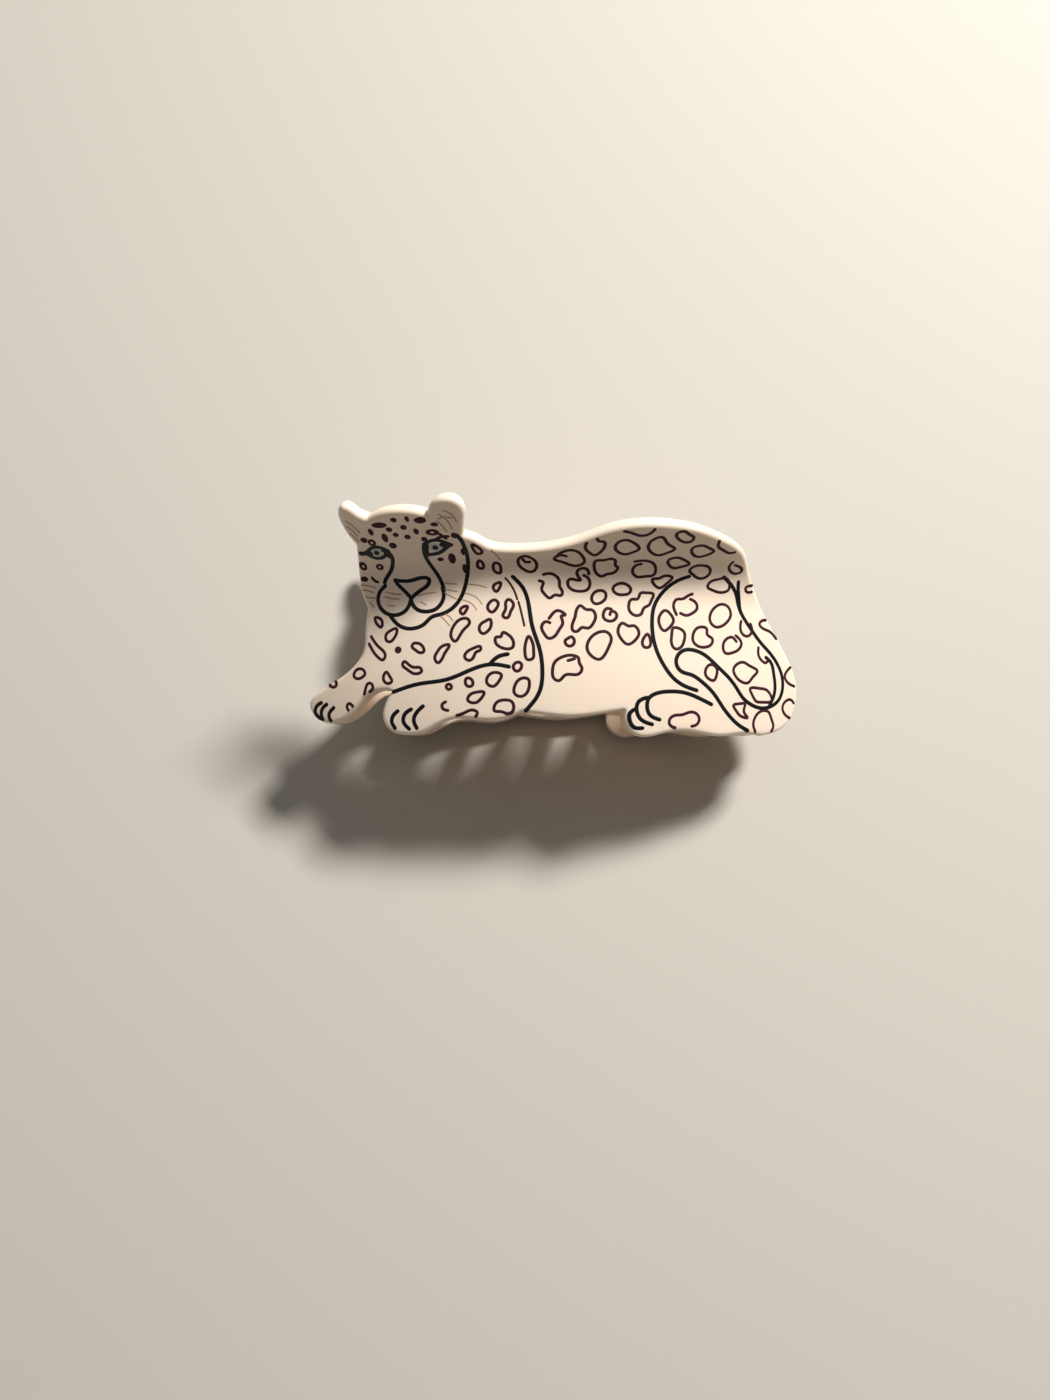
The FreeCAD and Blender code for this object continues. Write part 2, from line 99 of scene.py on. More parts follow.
# ------------------------------------------------------------------ finishes
@dataclass(frozen=True)
class Finish:
    """A surface finish made with one principled shader.

    The colour may be mottled: noise on Object coordinates mixes colour and second.
    """

    name: str
    colour: tuple[float, float, float]
    roughness: float
    metallic: float = 0.0
    coat: float = 0.0
    coat_roughness: float = 0.12
    subsurface: float = 0.0
    scatter: tuple[float, float, float] = (0.004, 0.0022, 0.0012)
    specular: float = 0.5
    second: tuple[float, float, float] | None = None
    grain: float = 90.0
    grain_detail: float = 4.0
    bump: float = 0.0
    bump_grain: float = 900.0
    bump_height: float = 0.0001

    def material(self) -> bpy.types.Material:
        """Build the material once and return it."""
        made = bpy.data.materials.get(self.name)
        if made:
            return made
        made = bpy.data.materials.new(self.name)
        made.use_nodes = True
        tree = made.node_tree
        shader = tree.nodes["Principled BSDF"]
        shader.inputs["Base Color"].default_value = (*self.colour, 1.0)
        shader.inputs["Roughness"].default_value = self.roughness
        shader.inputs["Metallic"].default_value = self.metallic
        shader.inputs["Coat Weight"].default_value = self.coat
        shader.inputs["Coat Roughness"].default_value = self.coat_roughness
        shader.inputs["Specular IOR Level"].default_value = self.specular
        if self.subsurface:
            shader.inputs["Subsurface Weight"].default_value = self.subsurface
            shader.inputs["Subsurface Radius"].default_value = self.scatter
            shader.inputs["Subsurface Scale"].default_value = 1.0
        place = tree.nodes.new("ShaderNodeTexCoord")
        if self.second:
            noise = tree.nodes.new("ShaderNodeTexNoise")
            noise.inputs["Scale"].default_value = self.grain
            noise.inputs["Detail"].default_value = self.grain_detail
            mix = tree.nodes.new("ShaderNodeMix")
            mix.data_type = "RGBA"
            mix.inputs[6].default_value = (*self.colour, 1.0)
            mix.inputs[7].default_value = (*self.second, 1.0)
            tree.links.new(place.outputs["Object"], noise.inputs["Vector"])
            tree.links.new(noise.outputs["Fac"], mix.inputs[0])
            tree.links.new(mix.outputs[2], shader.inputs["Base Color"])
        if self.bump:
            fine = tree.nodes.new("ShaderNodeTexNoise")
            fine.inputs["Scale"].default_value = self.bump_grain
            bump = tree.nodes.new("ShaderNodeBump")
            bump.inputs["Strength"].default_value = self.bump
            bump.inputs["Distance"].default_value = self.bump_height
            tree.links.new(place.outputs["Object"], fine.inputs["Vector"])
            tree.links.new(fine.outputs["Fac"], bump.inputs["Height"])
            tree.links.new(bump.outputs["Normal"], shader.inputs["Normal"])
        return made


ACETATE = Finish("cream_acetate", (0.94, 0.765, 0.60), 0.36, coat=0.22, subsurface=0.10,
                 second=(0.92, 0.745, 0.58), grain=60.0, bump=0.05)
BLACK_ENAMEL = Finish("jet_inlay", (0.003, 0.003, 0.004), 0.42, specular=0.3)
MAROON_ENAMEL = Finish("maroon_inlay", (0.046, 0.008, 0.013), 0.5, specular=0.2)
TAN_ENAMEL = Finish("tan_groove", (0.48, 0.33, 0.20), 0.5)
IRIS_ENAMEL = Finish("pale_iris_inlay", (0.50, 0.54, 0.52), 0.3, coat=0.4)
STEEL_STRIP = Finish("nickel_strip", (0.66, 0.64, 0.60), 0.3, metallic=1.0, bump=0.08)
RIVET_STEEL = Finish("bright_rivet", (0.72, 0.70, 0.66), 0.24, metallic=1.0)
SPRING_WIRE = Finish("spring_wire", (0.60, 0.58, 0.55), 0.22, metallic=1.0)
FLOOR = Finish("studio_floor", (0.53, 0.49, 0.425), 0.85)


# ------------------------------------------------------------------ the bent sheet
@dataclass(frozen=True)
class BentSheet:
    """The acetate sheet's form, in millimetres: a section bent upwards, bowed lengthwise."""

    thickness: float = 4.2
    bow_radius: float = 118.0
    waist_reach: float = 20.0
    waist_low: float = 5.0
    waist_radius: float = 13.0
    handle_angle: float = 50.0
    flank_height: float = 12.0
    hem_radius: float = 110.0

    def section(self, up: np.ndarray) -> tuple[np.ndarray, np.ndarray, np.ndarray]:
        """Y, Z and slope of the outer face along the section.

        Three runs joined smoothly: the handle turns out on a circle of the waist's radius and
        then runs straight, the flank is flat, and the hem turns in on the hem's radius.

        Args:
            up: Distances up the sheet from the pin.

        Returns:
            Y and Z in the clip frame, and the slope's angle.
        """
        waist, flank = -self.waist_low, -self.waist_low - self.flank_height
        above = np.maximum(up - waist, 0.0)
        turn = np.minimum(above / self.waist_radius, math.radians(self.handle_angle))
        past = above - turn * self.waist_radius
        below = np.maximum(flank - up, 0.0) / self.hem_radius
        y = np.clip(up, flank, waist) + self.waist_radius * np.sin(turn) + past * np.cos(turn)
        y = y - self.hem_radius * np.sin(below)
        z = self.waist_reach + self.waist_radius * (1 - np.cos(turn)) + past * np.sin(turn)
        z = z - self.hem_radius * (1 - np.cos(below))
        return y, z, turn + below

    def place(self, along: np.ndarray, up: np.ndarray, height: np.ndarray | float,
              jaw: Jaw) -> np.ndarray:
        """Sheet coordinates to metres in the object's frame.

        The section's point is moved off the face along its normal, turned about the bow's axis
        by along / bow radius, mirrored for the rear jaw, and laid down at the clip's rest.

        Args:
            along: Distances along the sheet, as drawn.
            up: Distances up the sheet.
            height: Distances off the outer face.
            jaw: The jaw that the sheet belongs to.

        Returns:
            An array of points, one row each.
        """
        y, z, slope = self.section(up)
        y, z = y - height * np.sin(slope), z + height * np.cos(slope)
        turn = along * SCALE_ALONG / self.bow_radius
        centre = self.bow_radius - self.waist_reach
        radius = z + centre
        clip = np.stack([radius * np.sin(turn), y, radius * np.cos(turn) - centre], axis=-1)
        clip[..., 2] *= jaw.value
        return lay_down(clip)


def lay_down(clip: np.ndarray) -> np.ndarray:
    """Clip-frame millimetres to metres at rest: tilt about X, roll about Y, then move.

    Args:
        clip: Points, one row each.

    Returns:
        The same points in the object's frame.
    """
    tilt, roll = math.radians(REST_TILT), math.radians(REST_ROLL)
    about_x = np.array([[1, 0, 0],
                        [0, math.cos(tilt), -math.sin(tilt)],
                        [0, math.sin(tilt), math.cos(tilt)]])
    about_y = np.array([[math.cos(roll), 0, math.sin(roll)],
                        [0, 1, 0],
                        [-math.sin(roll), 0, math.cos(roll)]])
    return (clip @ (about_y @ about_x).T + np.array(PIN_CENTRE)) * MM


SHEET = BentSheet()


# ------------------------------------------------------------------ curves and meshes
def smooth(points: Stroke, closed: bool, step: float) -> np.ndarray:
    """Points evenly spaced on the cubic spline through a stroke's points.

    The spline's knots are the distances run so far; its second derivatives solve the usual
    banded system, with free ends or a periodic join.

    Args:
        points: The stroke's points in sheet coordinates.
        closed: Whether the stroke joins its start.
        step: The spacing wanted.

    Returns:
        An array of points, without a repeated last one when closed.
    """
    knots = np.array(points + points[:1] if closed else points, dtype=float)
    gaps = np.linalg.norm(np.diff(knots, axis=0), axis=1)
    run = np.concatenate([[0.0], np.cumsum(gaps)])
    count = len(knots)
    band, right = np.zeros((count, count)), np.zeros((count, 2))
    slope = np.diff(knots, axis=0) / gaps[:, None]
    inner = np.arange(1, count - 1)
    band[inner, inner - 1], band[inner, inner + 1] = gaps[:-1], gaps[1:]
    band[inner, inner] = 2 * (gaps[:-1] + gaps[1:])
    right[inner] = 6 * np.diff(slope, axis=0)
    band[0, 0] = band[-1, -1] = 1.0
    if closed:
        band[0, :] = 0.0
        band[0, 0], band[0, 1], band[0, -2] = 2 * (gaps[0] + gaps[-1]), gaps[0], gaps[-1]
        right[0] = 6 * (slope[0] - slope[-1])
        band[-1, 0] = -1.0
    second = np.linalg.solve(band, right)
    total = run[-1]
    samples = max(8, int(round(total / step)))
    at = np.linspace(0.0, total, samples + 1)
    at = at[:-1] if closed else at
    cell = np.clip(np.searchsorted(run, at, side="right") - 1, 0, count - 2)
    width = gaps[cell][:, None]
    left, rest = (at - run[cell])[:, None], (run[cell + 1] - at)[:, None]
    return (second[cell] * rest ** 3 + second[cell + 1] * left ** 3) / (6 * width) \
        + (knots[cell] / width - second[cell] * width / 6) * rest \
        + (knots[cell + 1] / width - second[cell + 1] * width / 6) * left


def across(path: np.ndarray, closed: bool) -> np.ndarray:
    """Unit vectors square to a flat path, to its left: the path's tangent turned a quarter.

    Args:
        path: Points in sheet coordinates.
        closed: Whether the path joins its start.

    Returns:
        One vector for each point.
    """
    ahead = np.roll(path, -1, axis=0) - np.roll(path, 1, axis=0)
    if not closed:
        ahead[0], ahead[-1] = path[1] - path[0], path[-1] - path[-2]
    ahead /= np.linalg.norm(ahead, axis=1)[:, None]
    return np.stack([-ahead[:, 1], ahead[:, 0]], axis=1)


def grid_faces(rows: int, columns: int, wrap: bool) -> np.ndarray:
    """Quads of a grid of points numbered row by row, with the rows joined up when they wrap.

    Args:
        rows: Points along the first parameter.
        columns: Points along the second.
        wrap: Whether the last row joins the first.

    Returns:
        Four point numbers for each quad.
    """
    row = np.arange(rows if wrap else rows - 1)
    first, column = np.meshgrid(row, np.arange(columns - 1), indexing="ij")
    after = (first + 1) % rows
    quads = [first * columns + column, after * columns + column,
             after * columns + column + 1, first * columns + column + 1]
    return np.stack(quads, axis=-1).reshape(-1, 4)


def mesh_piece(name: str, points: np.ndarray, faces: list[np.ndarray], finish: Finish,
               weld: float = 0.0, outward: bool = True) -> bpy.types.Object:
    """A smooth-shaded mesh object at the origin.

    Args:
        name: The piece's name.
        points: Vertices in metres.
        faces: Arrays of triangles or quads, by vertex number.
        finish: The finish in its one slot.
        weld: Distance within which doubled vertices are merged.
        outward: Whether the faces' normals are made to point out.

    Returns:
        The object, linked to the scene.
    """
    mesh = bpy.data.meshes.new(name)
    loops = [face for group in faces for face in group.tolist()]
    mesh.from_pydata(points.reshape(-1, 3).tolist(), [], loops)
    if weld or outward:
        work = bmesh.new()
        work.from_mesh(mesh)
        if weld:
            bmesh.ops.remove_doubles(work, verts=work.verts, dist=weld)
        if outward:
            bmesh.ops.recalc_face_normals(work, faces=work.faces)
        work.to_mesh(mesh)
        work.free()
    mesh.polygons.foreach_set("use_smooth", np.ones(len(mesh.polygons), dtype=bool))
    mesh.materials.append(finish.material())
    mesh.update()
    piece = bpy.data.objects.new(name, mesh)
    bpy.context.collection.objects.link(piece)
    return piece


def dressed(piece: bpy.types.Object, body: str, slot: str, *nodes: str) -> bpy.types.Object:
    """Put a new piece on its body and hide the nodes it stands for.

    Args:
        piece: The new piece.
        body: The rigid body that it rides on.
        slot: The finish's slot name; not used.
        *nodes: The modelled nodes that it stands for.

    Returns:
        The same piece.
    """
    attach(piece, body)
    if nodes:
        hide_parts(*nodes)
    LOG.info("%s: %d faces", piece.name, len(piece.data.polygons))
    return piece


# ------------------------------------------------------------------ the drawing
# Sheet coordinates, in stretches between the silhouette's corners.
OUTLINE: list[Stroke] = [
    [(-43.1, 10.2), (-44.0, 13.5), (-44.2, 16.5), (-43.7, 19.4), (-42.3, 20.8), (-40.9, 20.0),
     (-39.9, 18.5), (-38.3, 17.1)],
    [(-38.3, 17.1), (-35.2, 18.5), (-32.0, 18.9), (-29.0, 18.6), (-26.1, 17.5)],
    [(-26.1, 17.5), (-24.9, 20.0), (-22.6, 21.4), (-20.0, 20.8), (-18.8, 18.6), (-19.0, 15.9),
     (-19.8, 11.6)],
    [(-19.8, 11.6), (-17.2, 10.3), (-15.0, 8.5), (-12.5, 7.8), (-8.0, 7.7), (-3.0, 8.3),
     (3.0, 10.3), (9.0, 13.6), (15.0, 15.3), (21.0, 15.5), (27.0, 14.7), (33.0, 12.6), (38.0, 10.0),
     (42.0, 5.2), (45.3, 0.5), (49.8, -6.2), (53.3, -11.2), (57.0, -16.6), (59.1, -21.5),
     (59.2, -26.0), (57.6, -30.3), (54.0, -33.0), (49.0, -34.2)],
    [(49.0, -34.2), (44.0, -33.8), (38.0, -34.4), (32.0, -33.7), (27.5, -33.3), (23.0, -34.1),
     (19.2, -34.8), (16.4, -34.0), (14.5, -31.6), (14.3, -28.7)],
    [(14.3, -28.7), (8.0, -29.8), (2.0, -30.4), (-4.0, -29.9), (-8.3, -29.4)],
    [(-8.3, -29.4), (-12.0, -30.9), (-16.0, -31.4), (-23.5, -31.1), (-27.5, -32.6), (-31.0, -34.4),
     (-35.0, -34.8), (-38.6, -33.8), (-40.4, -30.8), (-39.7, -27.4), (-38.0, -24.7)],
    [(-38.0, -24.7), (-42.2, -24.9), (-45.4, -27.1), (-48.6, -30.1), (-52.2, -32.0), (-56.0, -31.9),
     (-59.0, -30.0), (-59.8, -27.2), (-57.5, -24.8), (-52.0, -21.9), (-47.0, -18.2), (-45.2, -15.5),
     (-44.7, -10.5), (-44.1, -5.4)],
    [(-44.1, -5.4), (-45.3, -2.6), (-45.6, 0.6), (-44.6, 5.2), (-43.1, 10.2)],
]

# The long black lines, face, eyes' rims and claws.
BLACK_LINES: list[Stroke] = [
    [(-10.4, 0.9), (-8.2, -1.7), (-7.0, -5.3), (-6.2, -10.0), (-4.6, -15.0), (-3.9, -20.0),
     (-4.6, -25.0), (-7.4, -28.9)],
    [(-37.2, -24.8), (-31.0, -23.0), (-25.0, -22.1), (-19.0, -19.7), (-15.0, -18.7),
     (-11.2, -19.2)],
    [(-15.2, -18.5), (-13.6, -17.0), (-11.5, -16.4)],
    [(28.1, 2.1), (25.9, 1.1), (24.0, -0.3), (22.1, -2.5), (20.7, -5.3), (20.3, -8.4),
     (20.5, -11.6), (21.5, -15.3), (23.4, -18.8), (25.9, -21.6), (28.4, -23.0), (31.0, -23.8)],
    [(34.8, -26.9), (31.5, -25.5), (28.1, -24.4), (24.6, -24.2), (21.5, -24.7), (19.8, -25.8),
     (19.4, -27.5), (20.1, -29.5), (22.4, -30.6)],
    [(19.2, -25.7), (17.4, -26.7), (17.1, -28.8), (18.1, -30.6), (20.7, -31.7)],
    [(16.8, -28.3), (15.6, -29.2), (15.6, -30.9), (16.8, -32.5), (18.5, -32.6)],
    [(40.5, 1.6), (40.9, 0.0), (41.7, -3.1), (42.1, -5.0), (43.2, -6.9), (45.3, -9.5),
     (48.1, -12.5), (50.3, -14.4), (52.4, -16.7), (54.0, -19.7), (54.3, -22.8), (53.4, -25.3),
     (51.3, -26.9), (48.4, -27.5), (45.3, -26.7), (43.1, -25.3), (41.2, -23.0), (39.0, -20.6),
     (35.9, -18.0), (33.1, -15.8), (30.3, -14.7), (27.8, -14.8), (26.3, -16.1), (26.0, -17.8),
     (27.1, -19.5), (29.6, -20.3), (32.1, -21.7), (35.3, -24.4), (37.8, -27.5), (39.9, -29.7),
     (42.4, -31.6), (44.9, -32.8)],
    [(36.5, 2.5), (38.7, 0.9), (40.6, -1.3), (41.5, -3.8), (42.3, -5.6)],
    [(49.3, -15.6), (50.7, -16.7), (51.5, -19.1), (52.0, -21.9), (51.7, -24.7), (50.7, -26.6)],
    [(-36.8, 8.4), (-36.0, 7.0), (-36.2, 5.0), (-37.4, 2.6), (-38.8, 0.9), (-39.2, 0.2)],
    [(-28.3, 9.0), (-28.6, 7.0), (-28.3, 5.0), (-27.2, 2.5), (-26.2, 0.3), (-25.6, -1.8)],
    [(-39.2, -0.6), (-40.7, -2.0), (-41.2, -3.8), (-40.4, -5.8), (-38.6, -7.1), (-36.6, -7.3),
     (-34.6, -6.4), (-33.6, -4.8), (-33.3, -3.7)],
    [(-33.3, -3.7), (-32.9, -5.0), (-31.6, -6.3), (-29.6, -6.7), (-27.6, -6.2), (-26.3, -4.9),
     (-25.7, -3.0), (-25.9, -1.5)],
    [(-38.2, -7.4), (-36.6, -9.3), (-34.4, -10.4), (-32.2, -10.4), (-30.0, -9.4), (-28.5, -8.0),
     (-26.5, -7.4), (-24.0, -6.2), (-22.2, -4.2), (-20.8, -1.0), (-20.0, 2.5), (-19.7, 6.0),
     (-20.0, 9.0), (-20.9, 11.5), (-21.6, 12.2)],
    [(-36.6, 0.6), (-33.0, 0.4), (-30.0, 1.0), (-28.8, 0.6), (-28.9, -0.2), (-31.0, -1.9),
     (-33.2, -3.6)],
    [(-36.6, 0.6), (-36.4, 0.1), (-35.0, -1.6), (-33.2, -3.6)],
    [(-41.3, 7.8), (-40.4, 8.8), (-39.0, 9.5), (-37.5, 9.2), (-36.3, 8.2)],
    [(-41.3, 7.8), (-40.4, 6.8), (-39.0, 6.3), (-37.6, 6.8), (-36.6, 7.9)],
    [(-42.3, 8.0), (-41.2, 7.9)],
    [(-28.3, 9.0), (-27.5, 10.1), (-26.5, 10.6), (-25.0, 10.7), (-23.8, 10.1), (-22.6, 9.4)],
    [(-28.3, 6.6), (-27.5, 6.8), (-25.5, 7.2), (-24.0, 8.3), (-22.8, 9.3)],
    [(-56.1, -27.2), (-57.2, -27.8), (-57.9, -29.0), (-57.5, -30.1), (-56.6, -30.8)],
    [(-54.6, -27.6), (-55.6, -28.3), (-56.2, -29.6), (-55.9, -31.0)],
    [(-52.7, -28.4), (-53.6, -29.2), (-54.1, -30.2), (-53.7, -31.3)],
    [(-36.4, -29.2), (-37.4, -30.1), (-37.9, -31.6), (-37.2, -33.0)],
    [(-33.2, -28.8), (-34.6, -29.8), (-35.1, -31.5), (-33.8, -33.2)],
    [(-30.4, -28.1), (-31.8, -29.4), (-32.6, -31.2), (-32.0, -33.0)],
]

# Rosettes drawn as closed rings.
CLOSED_ROSETTES: list[Stroke] = [
    [(-41.9, -7.8), (-40.9, -7.9), (-40.1, -9.0), (-40.4, -10.0), (-41.2, -9.5), (-41.8, -8.6)],
    [(-36.6, -10.5), (-38.0, -10.8), (-39.2, -11.9), (-39.0, -13.1), (-38.2, -13.4), (-37.2, -12.6),
     (-36.6, -11.4)],
    [(-32.7, -14.0), (-31.8, -13.8), (-30.3, -14.8), (-30.2, -15.8), (-31.0, -16.0), (-32.2, -15.3),
     (-32.9, -14.6)],
    [(-34.8, -18.0), (-33.7, -18.6), (-32.2, -19.3), (-31.0, -19.4), (-30.6, -20.1), (-31.4, -20.7),
     (-32.7, -20.6), (-34.2, -19.6), (-35.1, -18.6)],
    [(-47.0, -20.4), (-46.0, -19.5), (-44.6, -19.8), (-44.3, -20.7), (-45.0, -21.4), (-46.3, -21.7),
     (-47.1, -21.1)],
    [(-39.0, -20.3), (-39.7, -21.4), (-39.4, -22.5), (-38.5, -22.9), (-37.7, -22.5),
     (-38.2, -21.2)],
    [(-20.2, -8.6), (-19.9, -9.2), (-20.9, -10.6), (-22.3, -12.7), (-23.1, -13.5), (-23.9, -12.7),
     (-23.9, -11.1), (-22.8, -9.2), (-21.5, -8.4)],
    [(-20.4, -5.7), (-21.4, -5.8), (-22.0, -6.8), (-21.5, -7.4), (-20.7, -6.6)],
    [(-24.4, -14.3), (-25.8, -14.5), (-27.1, -15.9), (-27.6, -17.4), (-26.9, -18.3), (-26.0, -17.5),
     (-25.2, -15.9)],
    [(-17.4, -14.8), (-18.8, -15.0), (-20.4, -15.9), (-20.9, -17.0), (-19.9, -17.8), (-19.0, -17.2),
     (-18.3, -15.9), (-17.4, -15.4)],
    [(-15.4, -8.6), (-15.1, -9.5), (-15.9, -11.3), (-16.9, -11.8), (-17.7, -11.0), (-17.4, -9.7),
     (-16.2, -8.9)],
    [(-25.0, -23.6), (-24.4, -23.1), (-23.8, -23.7), (-24.4, -24.3)],
    [(-20.4, -21.8), (-19.4, -22.0), (-19.2, -23.4), (-20.1, -23.6), (-20.7, -22.8)],
    [(-16.6, -24.9), (-18.2, -24.9), (-19.8, -25.6), (-20.2, -26.6), (-18.8, -27.3),
     (-17.4, -26.5)],
    [(-18.3, 9.3), (-17.2, 8.5), (-16.6, 7.0), (-17.2, 6.7), (-18.2, 8.0)],
    [(-17.3, 4.9), (-16.6, 4.0), (-16.8, 2.9), (-17.6, 3.1), (-17.8, 4.0)],
    [(-14.0, 4.3), (-13.3, 4.0), (-12.9, 2.6), (-13.1, 1.8), (-14.1, 2.1), (-14.5, 3.3)],
    [(-13.1, -0.4), (-14.0, -0.6), (-14.7, -1.4), (-14.1, -2.4), (-13.4, -1.7)],
    [(-14.3, -4.3), (-13.7, -4.8), (-14.1, -6.3), (-15.0, -7.0), (-15.9, -6.2), (-15.7, -5.1)],
    [(-11.5, -4.2), (-10.6, -4.6), (-10.3, -5.5), (-10.9, -6.9), (-11.7, -8.3), (-12.5, -8.0),
     (-12.0, -6.3), (-12.0, -4.9)],
    [(-12.6, -11.6), (-11.6, -11.9), (-10.2, -13.9), (-10.3, -14.7), (-13.7, -14.4), (-14.2, -13.5),
     (-14.0, -12.6), (-13.0, -12.5)],
    [(-6.9, -12.4), (-6.3, -13.2), (-5.8, -16.1), (-6.0, -17.3), (-7.1, -17.6), (-7.7, -16.1),
     (-7.5, -13.6)],
    [(-8.9, -18.2), (-8.5, -18.5), (-8.7, -19.8), (-9.4, -20.2), (-10.2, -19.4), (-9.8, -18.4)],
    [(-14.4, -20.5), (-12.8, -21.0), (-13.3, -22.4), (-14.7, -23.6), (-15.9, -22.9),
     (-15.9, -21.7)],
    [(-8.1, -21.7), (-7.0, -21.9), (-6.7, -23.4), (-7.4, -25.2), (-8.5, -25.8), (-9.9, -25.1),
     (-9.9, -23.6), (-9.1, -22.2)],
    [(-11.9, -26.6), (-10.6, -26.9), (-10.1, -28.6), (-10.6, -29.4), (-11.6, -29.6), (-12.9, -29.2),
     (-14.3, -29.0), (-14.3, -28.0), (-13.4, -26.9)],
    [(-8.0, 6.0), (-6.6, 5.6), (-5.4, 4.2), (-5.6, 2.6), (-6.3, 2.1), (-8.0, 2.6), (-9.1, 3.9),
     (-9.1, 5.2)],
    [(6.9, 4.9), (8.9, 5.3), (10.1, 5.7), (11.1, 5.2), (11.3, 4.0), (11.8, 3.6), (11.1, 2.2),
     (9.7, 1.8), (8.6, 1.3), (7.5, 1.9), (6.8, 3.5)],
    [(12.2, 11.0), (13.6, 10.6), (15.4, 8.5), (14.5, 7.8), (13.1, 7.1), (11.5, 7.5), (10.5, 8.9),
     (11.1, 10.5)],
    [(12.2, -0.4), (14.6, -0.6), (15.3, -1.6), (14.9, -2.4), (13.9, -2.7), (11.9, -2.4),
     (11.3, -1.4)],
    [(8.0, -2.0), (9.6, -2.3), (9.8, -3.5), (9.1, -4.4), (7.3, -4.8), (6.7, -3.8), (7.2, -2.5)],
    [(4.2, -5.4), (5.5, -6.2), (6.8, -6.3), (7.6, -7.6), (7.2, -9.1), (5.9, -10.4), (4.6, -10.3),
     (3.7, -11.1), (2.8, -11.1), (2.5, -9.8), (3.1, -8.0), (3.5, -6.2)],
    [(2.3, -12.4), (3.0, -13.3), (2.4, -14.4), (1.4, -14.3), (1.0, -13.3), (1.7, -12.7)],
    [(0.7, -16.8), (3.0, -16.6), (3.9, -17.1), (4.1, -18.1), (4.7, -19.4), (4.1, -20.6),
     (2.4, -20.8), (1.0, -21.0), (-0.3, -22.2), (-1.2, -21.9), (-1.7, -20.1), (-1.2, -18.1)],
    [(9.0, -11.1), (10.1, -11.2), (11.1, -12.5), (10.7, -14.2), (9.8, -16.1), (8.6, -17.3),
     (6.9, -16.7), (5.8, -15.0), (6.2, -13.1), (7.5, -11.7)],
    [(13.6, -9.1), (15.0, -9.7), (16.1, -9.6), (17.3, -11.1), (16.7, -12.6), (14.7, -13.8),
     (13.3, -12.6), (12.6, -10.7)],
    [(19.2, -11.4), (19.9, -12.6), (19.6, -14.3), (18.5, -14.3), (18.1, -13.3), (18.7, -11.9)],
    [(17.5, -2.3), (18.7, -2.1), (20.5, -2.4), (20.1, -3.8), (19.6, -4.8), (18.4, -5.6),
     (17.8, -6.9), (16.8, -7.3), (15.3, -6.5), (15.0, -4.8), (15.6, -3.7), (17.0, -3.5)],
    [(19.5, 12.2), (20.7, 10.9), (21.8, 10.0), (22.9, 9.2), (21.8, 8.1), (19.8, 7.2), (18.1, 8.0),
     (17.2, 9.5), (17.6, 11.1)],
    [(23.4, 14.1), (24.8, 13.4), (26.0, 12.5), (25.6, 11.4), (24.6, 11.2), (22.9, 12.0),
     (22.2, 13.3)],
    [(28.7, 10.6), (30.3, 10.0), (31.5, 9.3), (30.3, 8.0), (28.5, 7.4), (27.0, 8.3), (26.6, 9.5)],
    [(24.0, 6.8), (25.6, 6.4), (27.3, 5.2), (26.0, 4.5), (24.0, 4.0), (22.8, 4.8), (22.4, 5.8)],
    [(30.3, 5.1), (32.1, 4.7), (32.8, 3.4), (32.1, 2.2), (30.7, 1.8), (28.8, 2.7), (27.9, 3.6),
     (28.7, 4.7)],
    [(19.9, 1.0), (21.3, 1.3), (22.4, 1.9), (24.3, 1.6), (23.4, 0.3), (21.8, -0.9), (20.6, -0.3)],
    [(37.0, 2.3), (35.3, 1.9), (33.5, 1.1), (33.1, 0.0), (34.3, -0.7), (37.0, -1.1), (38.5, -0.3),
     (38.4, 0.8)],
    [(23.4, -5.9), (24.6, -6.7), (25.3, -8.0), (24.3, -9.8), (23.1, -10.5), (22.0, -9.1),
     (22.2, -6.9)],
    [(25.3, -9.8), (26.5, -9.8), (27.9, -10.8), (27.8, -12.8), (27.0, -14.2), (25.7, -14.5),
     (24.9, -13.4), (24.9, -11.3)],
    [(32.0, -9.3), (33.4, -9.7), (33.5, -10.9), (34.8, -11.9), (34.6, -13.1), (33.4, -13.8),
     (31.5, -13.8), (30.1, -12.7), (30.1, -10.9), (30.9, -9.7)],
    [(37.4, -3.8), (39.0, -4.5), (39.5, -6.3), (38.7, -7.7), (37.3, -8.8), (35.6, -9.1),
     (34.3, -8.0), (34.3, -6.3), (35.6, -4.5)],
    [(43.1, -17.0), (44.6, -17.7), (46.8, -18.9), (45.6, -20.3), (44.2, -21.7), (42.1, -21.3),
     (40.7, -20.0), (40.3, -18.8), (41.2, -17.5)],
    [(34.5, -17.8), (35.9, -18.6), (35.9, -20.3), (35.3, -21.4), (34.0, -21.1), (33.1, -20.0),
     (33.5, -18.4)],
    [(44.9, -23.1), (47.8, -22.9), (49.3, -23.1), (50.7, -24.2), (51.2, -25.5), (48.4, -26.1),
     (46.7, -25.9), (45.7, -24.7)],
    [(40.6, -27.0), (42.1, -26.6), (43.7, -26.6), (43.5, -28.4), (44.6, -29.8), (42.8, -29.5),
     (41.5, -28.4)],
]

